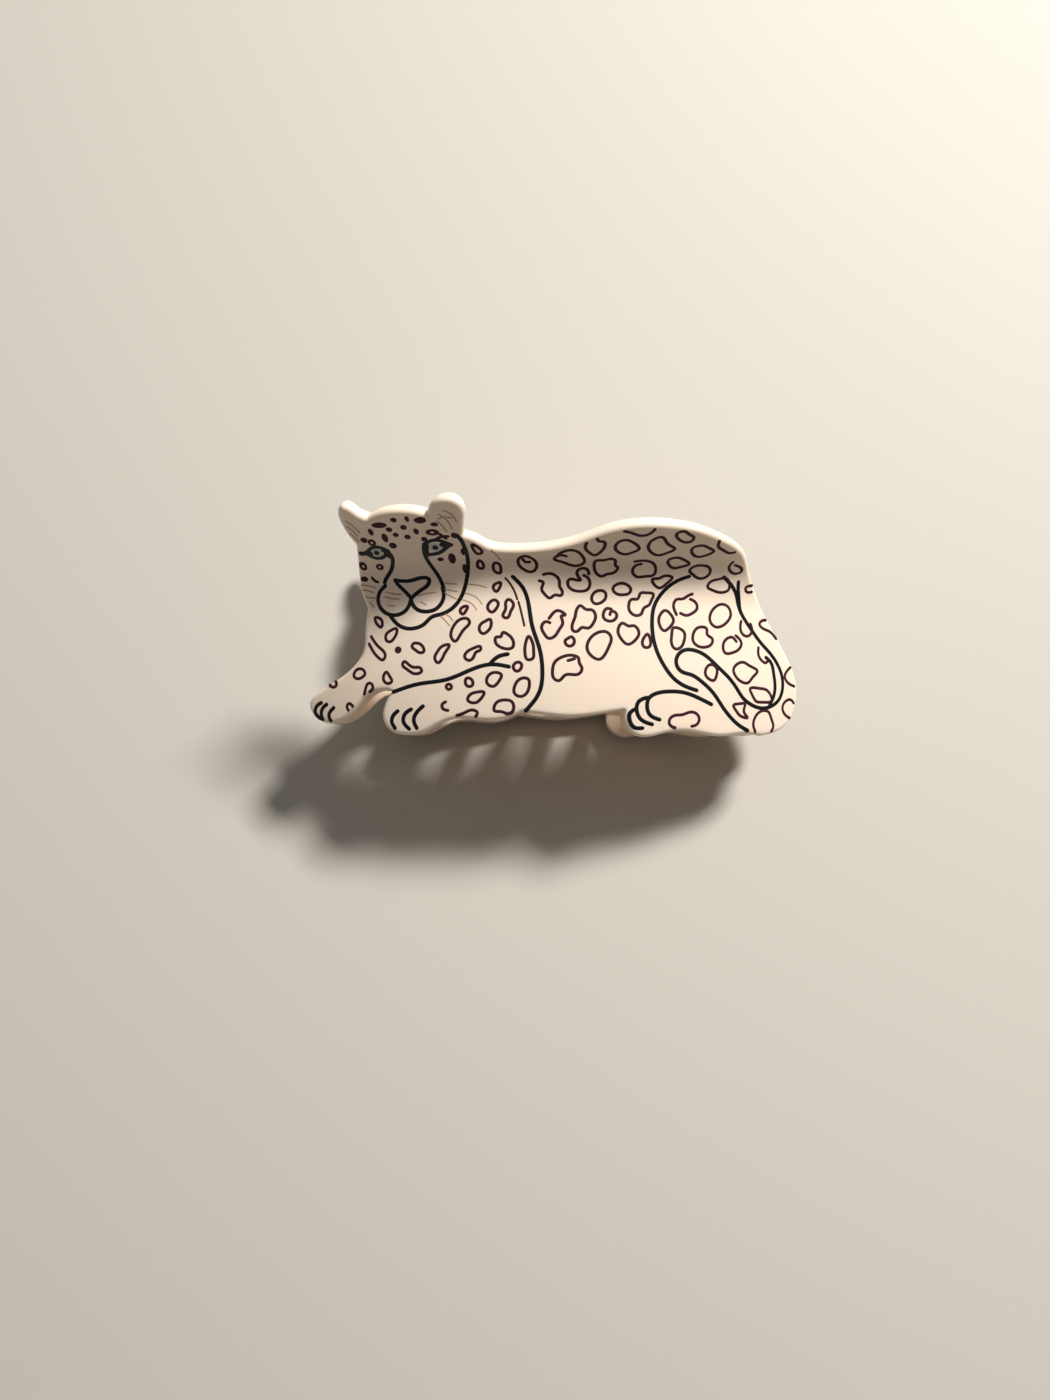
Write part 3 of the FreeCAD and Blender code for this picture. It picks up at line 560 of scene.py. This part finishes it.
# Rosettes and marks drawn as open strokes.
OPEN_ROSETTES: list[Stroke] = [
    [(-42.8, -12.1), (-40.9, -14.5), (-39.3, -16.7), (-39.8, -17.5), (-40.9, -17.0), (-42.2, -15.6),
     (-43.3, -13.8)],
    [(-53.5, -23.1), (-52.6, -23.6), (-51.7, -23.0), (-51.9, -22.3)],
    [(-44.5, -25.2), (-44.1, -23.9), (-43.4, -22.8), (-42.5, -23.1), (-42.5, -24.2),
     (-43.1, -24.7)],
    [(-48.8, -28.9), (-49.1, -28.2), (-48.5, -27.4), (-47.6, -28.0)],
    [(-25.2, -27.1), (-26.0, -27.8), (-25.8, -28.6), (-24.7, -29.0)],
    [(-22.6, -30.1), (-20.9, -29.5), (-19.1, -28.9), (-18.1, -29.4), (-18.4, -30.3)],
    [(-8.2, 5.2), (-7.7, 4.5), (-6.8, 4.5)],
    [(-3.8, 1.5), (-2.4, 1.7), (-1.1, 1.1), (-0.4, -0.2), (-0.3, -1.3), (0.3, -2.4), (0.0, -3.2),
     (-1.2, -3.1), (-2.4, -3.8), (-3.5, -3.0), (-4.2, -1.6), (-3.9, -0.3), (-4.7, 0.0)],
    [(0.7, 6.1), (-0.7, 6.3), (-1.7, 5.4), (-0.1, 4.6), (1.3, 4.0), (3.9, 3.9), (4.6, 4.7),
     (4.2, 6.0), (3.0, 7.4), (1.4, 7.8), (0.0, 7.3), (-0.9, 6.6)],
    [(5.8, 1.8), (5.4, 2.8), (4.4, 3.1), (3.4, 2.5), (3.4, 1.4), (4.1, 0.3), (2.8, 0.4), (1.7, 0.4),
     (1.4, -0.6), (2.1, -1.7), (4.1, -2.2), (5.8, -1.7), (6.2, -0.4), (5.5, 1.0), (4.8, 1.4)],
    [(4.6, 9.8), (4.4, 8.8), (5.2, 7.4), (6.8, 6.6), (7.6, 7.4), (8.3, 8.9), (8.0, 10.3),
     (6.9, 10.5), (6.6, 11.0)],
    [(11.7, 13.3), (13.1, 13.0), (14.6, 12.4), (16.4, 12.7), (17.1, 13.4), (17.5, 14.2)],
    [(11.0, -6.0), (10.1, -5.9), (9.4, -6.8), (9.4, -8.0), (10.5, -8.7), (11.9, -8.3), (12.2, -7.0),
     (11.1, -6.5), (10.8, -7.2)],
    [(-2.5, -8.3), (-1.5, -7.0), (-0.4, -6.6), (0.9, -7.6), (0.2, -7.7), (0.4, -8.9), (-0.3, -10.8),
     (-1.5, -12.5), (-2.6, -12.8), (-3.5, -11.9), (-4.1, -10.0), (-3.3, -9.1), (-2.4, -9.3)],
    [(1.7, -17.7), (3.0, -17.3)],
    [(31.7, 12.1), (32.1, 10.6), (33.4, 9.8), (35.6, 9.1), (36.3, 9.4)],
    [(16.7, 4.6), (15.6, 4.1), (15.2, 2.7), (16.2, 1.5), (18.1, 1.6), (20.1, 2.2), (20.2, 3.4),
     (19.2, 5.0), (16.8, 5.5), (15.3, 5.2)],
    [(37.1, 6.6), (36.8, 5.2), (37.9, 3.9), (39.2, 3.6), (40.3, 4.4), (39.6, 5.3), (38.1, 5.8)],
    [(44.2, 1.0), (42.8, 0.3), (43.2, -0.5), (44.6, -0.5)],
    [(29.6, -1.9), (28.7, -2.3), (27.4, -3.1), (26.0, -3.3), (25.3, -4.7), (25.6, -5.9),
     (26.0, -6.7)],
    [(29.3, -3.1), (30.7, -3.9), (31.0, -5.0), (29.9, -6.2), (28.4, -6.8), (27.0, -6.4)],
    [(41.0, -12.2), (39.9, -11.3), (38.7, -11.6), (37.6, -13.1), (38.1, -15.0), (39.9, -14.9),
     (41.8, -13.9), (42.4, -12.7), (41.5, -11.3), (40.9, -10.9)],
    [(42.3, -7.5), (42.1, -8.9), (42.8, -10.5), (44.2, -10.8), (45.3, -9.4), (44.9, -8.0)],
    [(47.1, -13.4), (47.1, -15.0), (48.1, -16.4), (49.3, -16.8), (49.9, -15.9)],
    [(26.2, -32.4), (24.9, -31.7), (24.8, -30.6), (25.7, -29.7), (27.8, -29.4), (29.6, -28.8),
     (31.2, -29.1), (32.0, -30.5), (31.3, -31.7), (30.3, -32.0)],
    [(47.1, -33.0), (46.4, -31.6), (46.7, -29.7), (48.1, -28.3), (50.4, -28.3), (51.5, -30.0),
     (52.2, -32.0), (51.8, -32.8)],
    [(58.0, -26.0), (57.1, -25.3), (55.3, -25.8), (54.6, -27.2), (55.6, -28.9), (57.0, -29.6)],
    [(56.6, -17.6), (56.0, -18.1), (54.9, -19.8), (55.7, -21.1), (57.9, -22.0)],
    [(49.1, -6.8), (48.1, -7.0), (47.4, -7.8), (48.4, -8.8), (50.3, -9.4), (52.2, -11.0)],
    [(-25.4, 11.0), (-24.3, 11.6), (-22.9, 11.7)],
    [(-24.4, 12.3), (-23.4, 11.2)],
    [(-42.0, 1.4), (-41.5, 0.7), (-40.9, 0.4)],
]

# Short broad strokes that fill the corners of the eyes.
EYE_CORNERS: list[Stroke] = [
    [(-41.3, 7.9), (-40.6, 7.8)],
    [(-37.1, 8.6), (-36.6, 7.8), (-36.3, 6.8)],
    [(-27.9, 9.5), (-28.2, 8.2), (-28.3, 6.9)],
    [(-24.2, 9.4), (-23.4, 9.3)],
]

# The thin second line beside the shoulder.
THIN_LINES: list[Stroke] = [
    [(-12.0, 0.6), (-10.8, -1.0), (-10.0, -2.6), (-9.5, -4.1)],
    [(-9.2, -4.7), (-8.6, -7.0), (-7.9, -10.0)],
]

# Whiskers and the hair inside the ears.
WHISKERS: list[Stroke] = [
    [(-45.0, -0.2), (-43.4, -0.4), (-41.7, -0.9)],
    [(-44.8, -1.3), (-43.6, -1.5), (-42.2, -2.0)],
    [(-44.2, -3.0), (-41.9, -3.3)],
    [(-43.2, -4.2), (-42.2, -5.4)],
    [(-39.0, -2.0), (-37.3, -2.5), (-35.6, -2.6)],
    [(-39.5, -3.1), (-37.9, -3.5), (-36.2, -3.7)],
    [(-38.8, -5.1), (-37.2, -5.2)],
    [(-25.2, -0.4), (-22.8, -0.6)],
    [(-25.8, -1.7), (-22.7, -2.3)],
    [(-25.4, -2.6), (-24.2, -3.3), (-23.0, -3.9)],
    [(-20.0, -0.7), (-18.2, -0.9), (-16.2, -1.4)],
    [(-20.8, -2.7), (-18.5, -3.6), (-17.2, -5.1)],
    [(-21.5, -4.2), (-19.5, -5.0), (-18.4, -6.4)],
    [(-25.2, -7.4), (-24.3, -8.0), (-23.7, -8.8)],
    [(-26.3, -7.9), (-25.3, -8.8), (-24.4, -9.9)],
    [(-14.5, 7.7), (-13.8, 6.6), (-12.9, 5.0)],
    [(-31.6, -3.0), (-29.5, -2.6), (-27.6, -2.4)],
    [(-31.0, -4.4), (-29.8, -5.2)],
    [(-43.0, 15.6), (-42.2, 14.4), (-41.6, 12.8)],
    [(-42.6, 17.0), (-41.5, 15.4), (-40.8, 13.6)],
    [(-42.9, 13.6), (-42.3, 12.4), (-41.9, 11.2)],
    [(-24.3, 15.8), (-23.4, 14.4), (-22.9, 13.0)],
    [(-23.6, 17.6), (-22.2, 15.6), (-21.8, 13.8)],
    [(-22.6, 18.6), (-21.2, 17.4), (-20.6, 15.6)],
    [(-24.0, 16.4), (-22.8, 16.8), (-21.4, 16.6)],
]

# Solid spots of the face: along, up, half width, half height.
FACE_SPOTS: list[tuple[float, float, float, float]] = [
    (-36.2, -15.3, 0.75, 0.75), (-36.1, 15.4, 1.45, 0.7), (-38.4, 13.7, 0.5, 0.85),
    (-40.6, 11.6, 0.7, 0.7), (-39.1, 10.8, 0.8, 0.9), (-35.9, 11.9, 0.6, 1.1),
    (-34.8, 9.7, 0.75, 0.75), (-32.8, 16.6, 0.6, 0.6), (-34.4, 14.1, 0.6, 0.6),
    (-33.4, 12.6, 0.55, 0.55), (-30.1, 16.7, 0.4, 0.7), (-31.3, 14.5, 0.6, 0.6),
    (-31.1, 11.9, 0.6, 0.6), (-29.0, 13.3, 0.5, 0.75), (-27.6, 16.2, 1.1, 0.75),
    (-25.0, 15.0, 0.7, 0.5), (-25.8, 12.9, 1.25, 0.8), (-27.8, 11.1, 0.6, 0.6),
    (-21.4, 11.8, 0.75, 0.65), (-20.4, 7.4, 0.45, 0.9), (-20.6, 3.0, 0.5, 1.0),
    (-25.5, 5.4, 0.65, 0.5), (-23.0, 5.6, 0.75, 1.3), (-43.3, 4.4, 0.8, 1.05),
    (-39.5, 4.0, 0.85, 0.8), (-43.9, 1.2, 0.8, 0.6), (-42.4, 7.9, 0.6, 0.6),
]
EYES: list[Point] = [(-39.0, 7.9), (-26.0, 8.7)]


# ------------------------------------------------------------------ the jaws
@dataclass(frozen=True)
class JawPlate:
    """One jaw's sheet, cut to the leopard's outline, with its edges rounded and polished."""

    jaw: Jaw
    outer_round: float = 1.1
    inner_round: float = 0.5
    bevel_wide: float = 2.2
    bevel_deep: float = 3.0
    bevel_from: float = -4.0
    bevel_run: float = 9.0
    round_steps: int = 6
    outline_step: float = 0.45
    fill_step: float = 0.85
    fill_margin: float = 0.45
    exactness: float = 1e-7

    def outline(self) -> np.ndarray:
        """The closed silhouette: each stretch's spline, one after the other."""
        runs = [smooth(points, False, self.outline_step)[:-1] for points in OUTLINE]
        return np.concatenate(runs)

    def rings(self, up: np.ndarray) -> tuple[np.ndarray, np.ndarray]:
        """Inset and height of the loops round the edge: a quarter circle at each face.

        The inner edge's round grows into a wide bevel up the handles, where the fingers hold.

        Args:
            up: How far up the sheet each point of the edge lies.

        Returns:
            Insets and heights, one row for each point of the edge.
        """
        turns = np.linspace(0.0, math.pi / 2, self.round_steps + 1)[None, :]
        held = np.clip((up - self.bevel_from) / self.bevel_run, 0.0, 1.0)[:, None]
        held = held * held * (3 - 2 * held)
        wide = self.inner_round + (self.bevel_wide - self.inner_round) * held
        deep = self.inner_round + (self.bevel_deep - self.inner_round) * held
        outer = self.outer_round
        inset = np.hstack([np.broadcast_to(outer * (1 - np.sin(turns)), (len(up), turns.size)),
                           wide * (1 - np.cos(turns))])
        height = np.hstack([np.broadcast_to(-outer * (1 - np.cos(turns)), (len(up), turns.size)),
                            deep * (1 - np.sin(turns)) - SHEET.thickness])
        return inset, height

    def build(self) -> bpy.types.Object:
        """The closed plate: edge loops inset from the outline, and both faces filled.

        Each loop is the outline moved inwards along its normal; the faces inside the first and
        last loops are filled with a triangulated grid of points.
        """
        edge = self.outline()
        inward = across(edge, True)
        area = np.sum(edge[:, 0] * np.roll(edge[:, 1], -1) - edge[:, 1] * np.roll(edge[:, 0], -1))
        inward = inward if area > 0 else -inward
        insets, heights = self.rings(edge[:, 1])
        flat = edge[:, None, :] + inward[:, None, :] * insets[..., None]
        points = [SHEET.place(flat[..., 0], flat[..., 1], heights, self.jaw).reshape(-1, 3)]
        faces = [grid_faces(*insets.shape, True)]
        start = insets.size
        for loop, height in ((flat[:, 0], 0.0), (flat[:, -1], -SHEET.thickness)):
            spots, triangles = self.fill(loop)
            points.append(SHEET.place(spots[:, 0], spots[:, 1], height, self.jaw))
            faces.append(triangles + start)
            start += len(spots)
        piece = mesh_piece(f"{self.jaw.label}_acetate_plate", np.concatenate(points), faces,
                           ACETATE, weld=WELD)
        return dressed(piece, self.jaw.body, "acetate", f"{self.jaw.label}_plate")

    def fill(self, loop: np.ndarray) -> tuple[np.ndarray, np.ndarray]:
        """Triangles over the flat area inside a loop, with a staggered grid of points in it.

        Args:
            loop: The closed loop's points.

        Returns:
            The points used, and the triangles by number.
        """
        low, high = loop.min(axis=0), loop.max(axis=0)
        columns = np.arange(low[0], high[0], self.fill_step)
        rows = np.arange(low[1], high[1], self.fill_step)
        grid = np.stack(np.meshgrid(columns, rows, indexing="ij"), axis=-1)
        grid[..., 0] += (np.arange(len(rows)) % 2) * self.fill_step / 2
        spots = grid.reshape(-1, 2)
        near = np.min(np.linalg.norm(spots[:, None, :] - loop[None, :, :], axis=2), axis=1)
        spots = spots[near > self.fill_step * self.fill_margin]
        every = np.concatenate([loop, spots])
        count = len(loop)
        ring = [(number, (number + 1) % count) for number in range(count)]
        corners = [Vector(spot) for spot in every.tolist()]
        made = geometry.delaunay_2d_cdt(corners, ring, [], 1, self.exactness)
        triangles = np.array([face[:3] for face in made[2]])
        used, numbers = np.unique(triangles, return_inverse=True)
        return np.array([spot[:] for spot in made[0]])[used], numbers.reshape(-1, 3)


LINE_WIDTHS: dict[Line, float] = {Line.BLACK: 1.02, Line.SPOT: 0.80, Line.TAN: 0.40}


@dataclass(frozen=True)
class Inlay:
    """The enamelled engraving of one jaw."""

    jaw: Jaw
    proud: float = 0.06
    sunk: float = 0.02
    step: float = 0.22
    widths: dict[Line, float] = field(default_factory=lambda: dict(LINE_WIDTHS))
    profile: tuple[float, ...] = (-1.0, -0.9, -0.7, 0.0, 0.7, 0.9, 1.0)
    end_steps: tuple[float, ...] = (1.0, 0.92, 0.75, 0.5, 0.25)
    thin_width: float = 0.56
    corner_width: float = 1.65
    hollow: float = 0.32
    hollow_from: float = 0.79
    oval_rings: int = 5
    oval_points: int = 28
    iris: tuple[float, float] = (1.5, 1.35)
    pupil: tuple[float, float] = (0.66, 0.68)
    pupil_lift: float = 0.05
    bold: float = 1.25

    def ribbon(self, points: Stroke, closed: bool, width: float) -> tuple[np.ndarray, np.ndarray]:
        """A low domed strip along a stroke, with round ends.

        Across the strip the height is proud * (1 - v^4) - sunk, v from -1 to 1; near an open end
        the half width follows a half circle.

        Args:
            points: The stroke.
            closed: Whether the stroke joins its start.
            width: The strip's full width.

        Returns:
            The grid of points in metres, and its quads.
        """
        path = smooth(points, closed, self.step)
        side = across(path, closed)
        half = np.full(len(path), width / 2)
        if not closed:
            path, side, run = self.with_ends(path, side, width / 2)
            end = np.clip(np.minimum(run, run[-1] - run) / (width / 2), 0.0, 1.0)
            half = width / 2 * np.sqrt(np.clip(1 - (1 - end) ** 2, 0.0, 1.0))
        v = np.array(self.profile)
        flat = path[:, None, :] + side[:, None, :] * (half[:, None] * v)[..., None]
        height = self.proud * (1 - v ** 4) - self.sunk
        height = np.broadcast_to(height, flat.shape[:2])
        points = SHEET.place(flat[..., 0], flat[..., 1], height, self.jaw)
        return points, grid_faces(len(path), len(v), closed)

    def with_ends(self, path: np.ndarray, side: np.ndarray,
                  reach: float) -> tuple[np.ndarray, np.ndarray, np.ndarray]:
        """Lengthen a path by a few points at each end, straight on, for its round ends.

        Args:
            path: Points in sheet coordinates.
            side: Unit vectors square to the path.
            reach: How far the ends go on.

        Returns:
            The longer path, its side vectors, and the distance run to each point.
        """
        ahead = np.stack([side[:, 1], -side[:, 0]], axis=1)
        steps = reach * np.array(self.end_steps)[:, None]
        head = path[0] - ahead[0] * steps
        tail = path[-1] + ahead[-1] * steps[::-1]
        whole = np.concatenate([head, path, tail])
        more = len(self.end_steps)
        sides = np.pad(side, ((more, more), (0, 0)), mode="edge")
        lengths = np.concatenate([[0.0], np.cumsum(np.linalg.norm(np.diff(whole, axis=0), axis=1))])
        return whole, sides, lengths

    def lines(self, name: str, strokes: list[tuple[Stroke, bool, float]], finish: Finish,
              slot: str) -> bpy.types.Object:
        """All the strokes of one enamel as one piece.

        Args:
            name: The piece's name after the jaw's.
            strokes: Each stroke, whether it is closed, and its width.
            finish: The enamel.
            slot: The enamel's slot name.

        Returns:
            The dressed piece.
        """
        points, faces, start = [], [], 0
        for stroke, closed, width in strokes:
            spots, quads = self.ribbon(stroke, closed, width)
            points.append(spots.reshape(-1, 3))
            faces.append(quads + start)
            start += spots.shape[0] * spots.shape[1]
        return self.inlaid(name, points, faces, finish, slot)

    def ovals(self, name: str, spots: list[tuple[float, float, float, float]], finish: Finish,
              slot: str, lift: float, *nodes: str) -> bpy.types.Object:
        """Domed ovals: rings whose height falls as the fourth power of their share outwards.

        Args:
            name: The piece's name after the jaw's.
            spots: Centre and half sizes of each oval.
            finish: The enamel.
            slot: The enamel's slot name.
            lift: How far the ovals stand off the sheet's face.
            *nodes: The modelled nodes that the piece stands for.

        Returns:
            The dressed piece.
        """
        shares = np.linspace(0.0, 1.0, self.oval_rings + 1)[1:]
        turns = np.linspace(0.0, 2 * math.pi, self.oval_points, endpoint=False)
        points, faces, start = [], [], 0
        for along, up, wide, tall in spots:
            x = along + wide * np.outer(np.cos(turns), shares)
            y = up + tall * np.outer(np.sin(turns), shares)
            height = np.broadcast_to(lift + self.proud * (1 - shares ** 4) - self.sunk, x.shape)
            rim = SHEET.place(x, y, height, self.jaw).reshape(-1, 3)
            hub = SHEET.place(np.array([along]), np.array([up]),
                              lift + self.proud - self.sunk, self.jaw)
            points += [rim, hub]
            quads = grid_faces(len(turns), len(shares), True) + start
            inner = np.arange(len(turns)) * len(shares) + start
            middle = np.full(len(turns), start + len(rim))
            fan = np.stack([middle, inner, np.roll(inner, -1)], axis=1)
            faces += [quads[:, ::-1], fan]
            start += len(rim) + 1
        return self.inlaid(name, points, faces, finish, slot, *nodes)

    def inlaid(self, name: str, points: list[np.ndarray], faces: list[np.ndarray], finish: Finish,
               slot: str, *nodes: str) -> bpy.types.Object:
        """One dressed piece of enamel; the rear jaw's faces are turned round to point out.

        Args:
            name: The piece's name after the jaw's.
            points: Groups of vertices in metres.
            faces: Groups of faces, by number among all the vertices.
            finish: The enamel.
            slot: The enamel's slot name.
            *nodes: The modelled nodes that the piece stands for.

        Returns:
            The dressed piece.
        """
        if self.jaw is Jaw.REAR:
            faces = [group[:, ::-1] for group in faces]
        piece = mesh_piece(f"{self.jaw.label}_{name}", np.concatenate(points), faces, finish,
                           outward=False)
        return dressed(piece, self.jaw.body, slot, *nodes)

    def build(self) -> None:
        """All of the jaw's enamel, from the long black lines to the eyes."""
        black = [(stroke, False, self.widths[Line.BLACK]) for stroke in BLACK_LINES]
        black += [(stroke, False, self.corner_width) for stroke in EYE_CORNERS]
        self.lines("black_lines", black, BLACK_ENAMEL, "black_enamel")
        spots = [(stroke, True, self.widths[Line.SPOT]) for stroke in CLOSED_ROSETTES]
        spots += [(stroke, False, self.widths[Line.SPOT]) for stroke in OPEN_ROSETTES]
        spots += [(stroke, False, self.thin_width) for stroke in THIN_LINES]
        self.lines("rosettes", spots, MAROON_ENAMEL, "black_enamel")
        bold = [(along, up, wide * self.bold, tall * self.bold)
                for along, up, wide, tall in FACE_SPOTS]
        self.ovals("spots", bold, MAROON_ENAMEL, "black_enamel", 0.0)
        hollows = [(along, up, wide * self.hollow, tall * self.hollow)
                   for along, up, wide, tall in FACE_SPOTS if min(wide, tall) >= self.hollow_from]
        self.ovals("spot_hollows", hollows, ACETATE, "acetate", self.proud)
        tan = [(stroke, False, self.widths[Line.TAN]) for stroke in WHISKERS]
        self.lines("whiskers", tan, TAN_ENAMEL, "acetate")
        label = self.jaw.label
        self.ovals("eyes", [(*spot, *self.iris) for spot in EYES], IRIS_ENAMEL, "iris_enamel", 0.0,
                   f"{label}_eye_enamel")
        self.ovals("pupils", [(*spot, *self.pupil) for spot in EYES], BLACK_ENAMEL, "black_enamel",
                   self.pupil_lift, f"{label}_pupil_enamel")


# ------------------------------------------------------------------ the hinge
@dataclass(frozen=True)
class Springs:
    """The pair of torsion springs round the pin, whose legs press the handles apart."""

    wire_radius: float = 0.65
    coil_radius: float = 2.3
    turns: int = 5
    pitch: float = 1.4
    start: float = 1.5
    leg_up: float = 4.0
    leg_gap: float = 0.05
    leg_points: int = 24
    coil_step: float = 0.16
    round_points: int = 14
    dome_reach: float = 0.45
    blend_from: float = 2.2
    blend_to: float = 8.0

    def leg_end(self, across_clip: float, jaw: Jaw) -> np.ndarray:
        """Where a leg's centre ends: a wire's radius inside the handle's inner face.

        Args:
            across_clip: The leg's place along the pin.
            jaw: The jaw whose handle it presses.

        Returns:
            The point in the clip frame.
        """
        height = -SHEET.thickness - self.wire_radius - self.leg_gap
        y, z, slope = SHEET.section(np.array([self.leg_up]))
        y, z = y - height * np.sin(slope), z + height * np.cos(slope)
        centre = SHEET.bow_radius - SHEET.waist_reach
        turn = math.asin(across_clip / SHEET.bow_radius)
        depth = (z[0] + centre) * math.cos(turn) - centre
        return np.array([across_clip, y[0], jaw.value * depth])

    def path(self) -> np.ndarray:
        """The wire's centre line: leg, helix about X, leg."""
        far = self.leg_end(self.start, Jaw.FRONT)
        lead = math.atan2(far[2], far[1]) + math.acos(self.coil_radius / math.hypot(far[1], far[2]))
        total = 2 * math.pi * (self.turns + 1) - 2 * lead
        rise = self.pitch * total / (2 * math.pi)
        share = np.linspace(0.0, 1.0, int(total / self.coil_step))
        turn = -lead - total * share
        coil = np.stack([self.start + rise * share,
                         self.coil_radius * np.cos(turn),
                         self.coil_radius * np.sin(turn)], axis=1)
        rear = self.leg_end(self.start, Jaw.REAR)
        front = self.leg_end(self.start + rise, Jaw.FRONT)
        steps = np.linspace(0.0, 1.0, self.leg_points)[:, None]
        first = rear + (coil[0] - rear) * steps
        last = coil[-1] + (front - coil[-1]) * steps
        return np.concatenate([first[:-1], coil, last[1:]])

    def build(self, side: int) -> bpy.types.Object:
        """One spring's wire: a circle carried along the centre line, with domed ends.

        The circle's frame has one vector square to the wire and to X, and one square to both.

        Args:
            side: 1 for the right spring, -1 for the left.

        Returns:
            The piece.
        """
        path = self.path()
        path[:, 0] *= side
        ahead = np.gradient(path, axis=0)
        ahead /= np.linalg.norm(ahead, axis=1)[:, None]
        first = np.cross(ahead, np.array([1.0, 0.0, 0.0]))
        first /= np.linalg.norm(first, axis=1)[:, None]
        second = np.cross(ahead, first)
        dome = np.array([1.0, 0.9, 0.6])
        size = np.array([0.02, 0.5, 0.82])
        dome *= self.dome_reach
        more = len(dome)
        wire = np.ones(len(path))
        path = np.concatenate([path[0] - ahead[0] * dome[:, None], path,
                               path[-1] + ahead[-1] * dome[::-1, None]])
        spread = ((more, more), (0, 0))
        first, second = np.pad(first, spread, mode="edge"), np.pad(second, spread, mode="edge")
        radius = self.wire_radius * np.concatenate([size, wire, size[::-1]])
        turns = np.linspace(0.0, 2 * math.pi, self.round_points + 1)
        ring = (first[:, None, :] * np.cos(turns)[None, :, None]
                + second[:, None, :] * np.sin(turns)[None, :, None])
        points = path[:, None, :] + ring * radius[:, None, None]
        label = "right" if side > 0 else "left"
        piece = mesh_piece(f"{label}_spring_wire", lay_down(points.reshape(-1, 3)),
                           [grid_faces(len(path), len(turns), False)], SPRING_WIRE, weld=WELD)
        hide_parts(f"spring_{label}")
        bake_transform(piece)
        LOG.info("%s: %d faces", piece.name, len(piece.data.polygons))
        return piece


@dataclass(frozen=True)
class Hardware:
    """The steel and comb pieces whose modelled shape stands, with their finishes."""

    steel: tuple[str, ...] = ("front_bracket_left", "front_bracket_right", "rear_bracket_left",
                              "rear_bracket_right", "hinge_pin", "pin_end_cap")
    rivets: tuple[str, ...] = ("front_bracket_rivets", "rear_bracket_rivets")
    combs: tuple[str, ...] = ("front_comb", "rear_comb")

    def dress(self) -> None:
        """Give every kept piece its finish."""
        for names, finish in ((self.steel, STEEL_STRIP), (self.rivets, RIVET_STEEL),
                              (self.combs, ACETATE)):
            for name in names:
                piece = bpy.data.objects[name]
                for slot in piece.material_slots:
                    slot.material = finish.material()
                LOG.info("%s: kept, %s", name, finish.name)


# ------------------------------------------------------------------ studio
@dataclass(frozen=True)
class Studio:
    """A pale floor, soft light from the upper right, and the camera."""

    eye: tuple[float, float, float] = (-0.0070, -0.0938, 0.2526)
    look_down: float = 72.0
    lens: float = 25.9
    film: float = 36.0
    near_clip: float = 0.01
    floor_half: float = 1.2
    world_colour: tuple[float, float, float, float] = (1.0, 0.98, 0.95, 1.0)
    world_strength: float = 0.125

    def floor(self) -> None:
        """A plain square floor under the clip."""
        mesh = bpy.data.meshes.new("studio_floor")
        h = self.floor_half
        mesh.from_pydata([(-h, -h, 0), (h, -h, 0), (h, h, 0), (-h, h, 0)], [], [(0, 1, 2, 3)])
        mesh.materials.append(FLOOR.material())
        floor = bpy.data.objects.new("studio_floor", mesh)
        bpy.context.collection.objects.link(floor)

    @staticmethod
    def area(name: str, spot: tuple[float, float, float], size: float, watts: float) -> None:
        """One square soft light that faces the clip.

        Args:
            name: The light's name.
            spot: Where it hangs, in metres.
            size: The square's side in metres.
            watts: Its power.
        """
        lamp = bpy.data.lights.new(name, "AREA")
        lamp.size, lamp.energy = size, watts
        lit = bpy.data.objects.new(name, lamp)
        lit.location = spot
        lit.rotation_euler = Vector(spot).to_track_quat("Z", "Y").to_euler()
        bpy.context.collection.objects.link(lit)

    def light(self) -> None:
        """A key from the upper right behind, a broad fill, and a dim even world."""
        self.area("key", (0.53, 0.57, 0.86), 0.22, 20.6)
        self.area("fill", (-0.35, 0.2, 0.8), 0.8, 0.75)
        world = bpy.data.worlds.new("studio")
        world.use_nodes = True
        world.node_tree.nodes["Background"].inputs[0].default_value = self.world_colour
        world.node_tree.nodes["Background"].inputs[1].default_value = self.world_strength
        bpy.context.scene.world = world

    def camera(self) -> None:
        """The camera over the clip, looking down from the teeth's side."""
        lens = bpy.data.cameras.new("camera")
        lens.sensor_fit, lens.sensor_height, lens.lens = "VERTICAL", self.film, self.lens
        lens.clip_start = self.near_clip
        eye = bpy.data.objects.new("camera", lens)
        eye.location = self.eye
        eye.rotation_euler = (math.radians(90.0 - self.look_down), 0.0, 0.0)
        bpy.context.collection.objects.link(eye)
        bpy.context.scene.camera = eye

    def build(self) -> None:
        """Floor, lights and camera."""
        self.floor()
        self.light()
        self.camera()
        bpy.context.scene.view_settings.view_transform = "Standard"


def main() -> None:
    """Build every piece in order."""
    logging.basicConfig(level=logging.INFO, format="%(message)s")
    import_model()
    for jaw in Jaw:
        JawPlate(jaw).build()
        Inlay(jaw).build()
    springs = Springs()
    for side in (1, -1):
        springs.build(side)
    Hardware().dress()
    Studio().build()


if __name__ == "__main__":
    main()
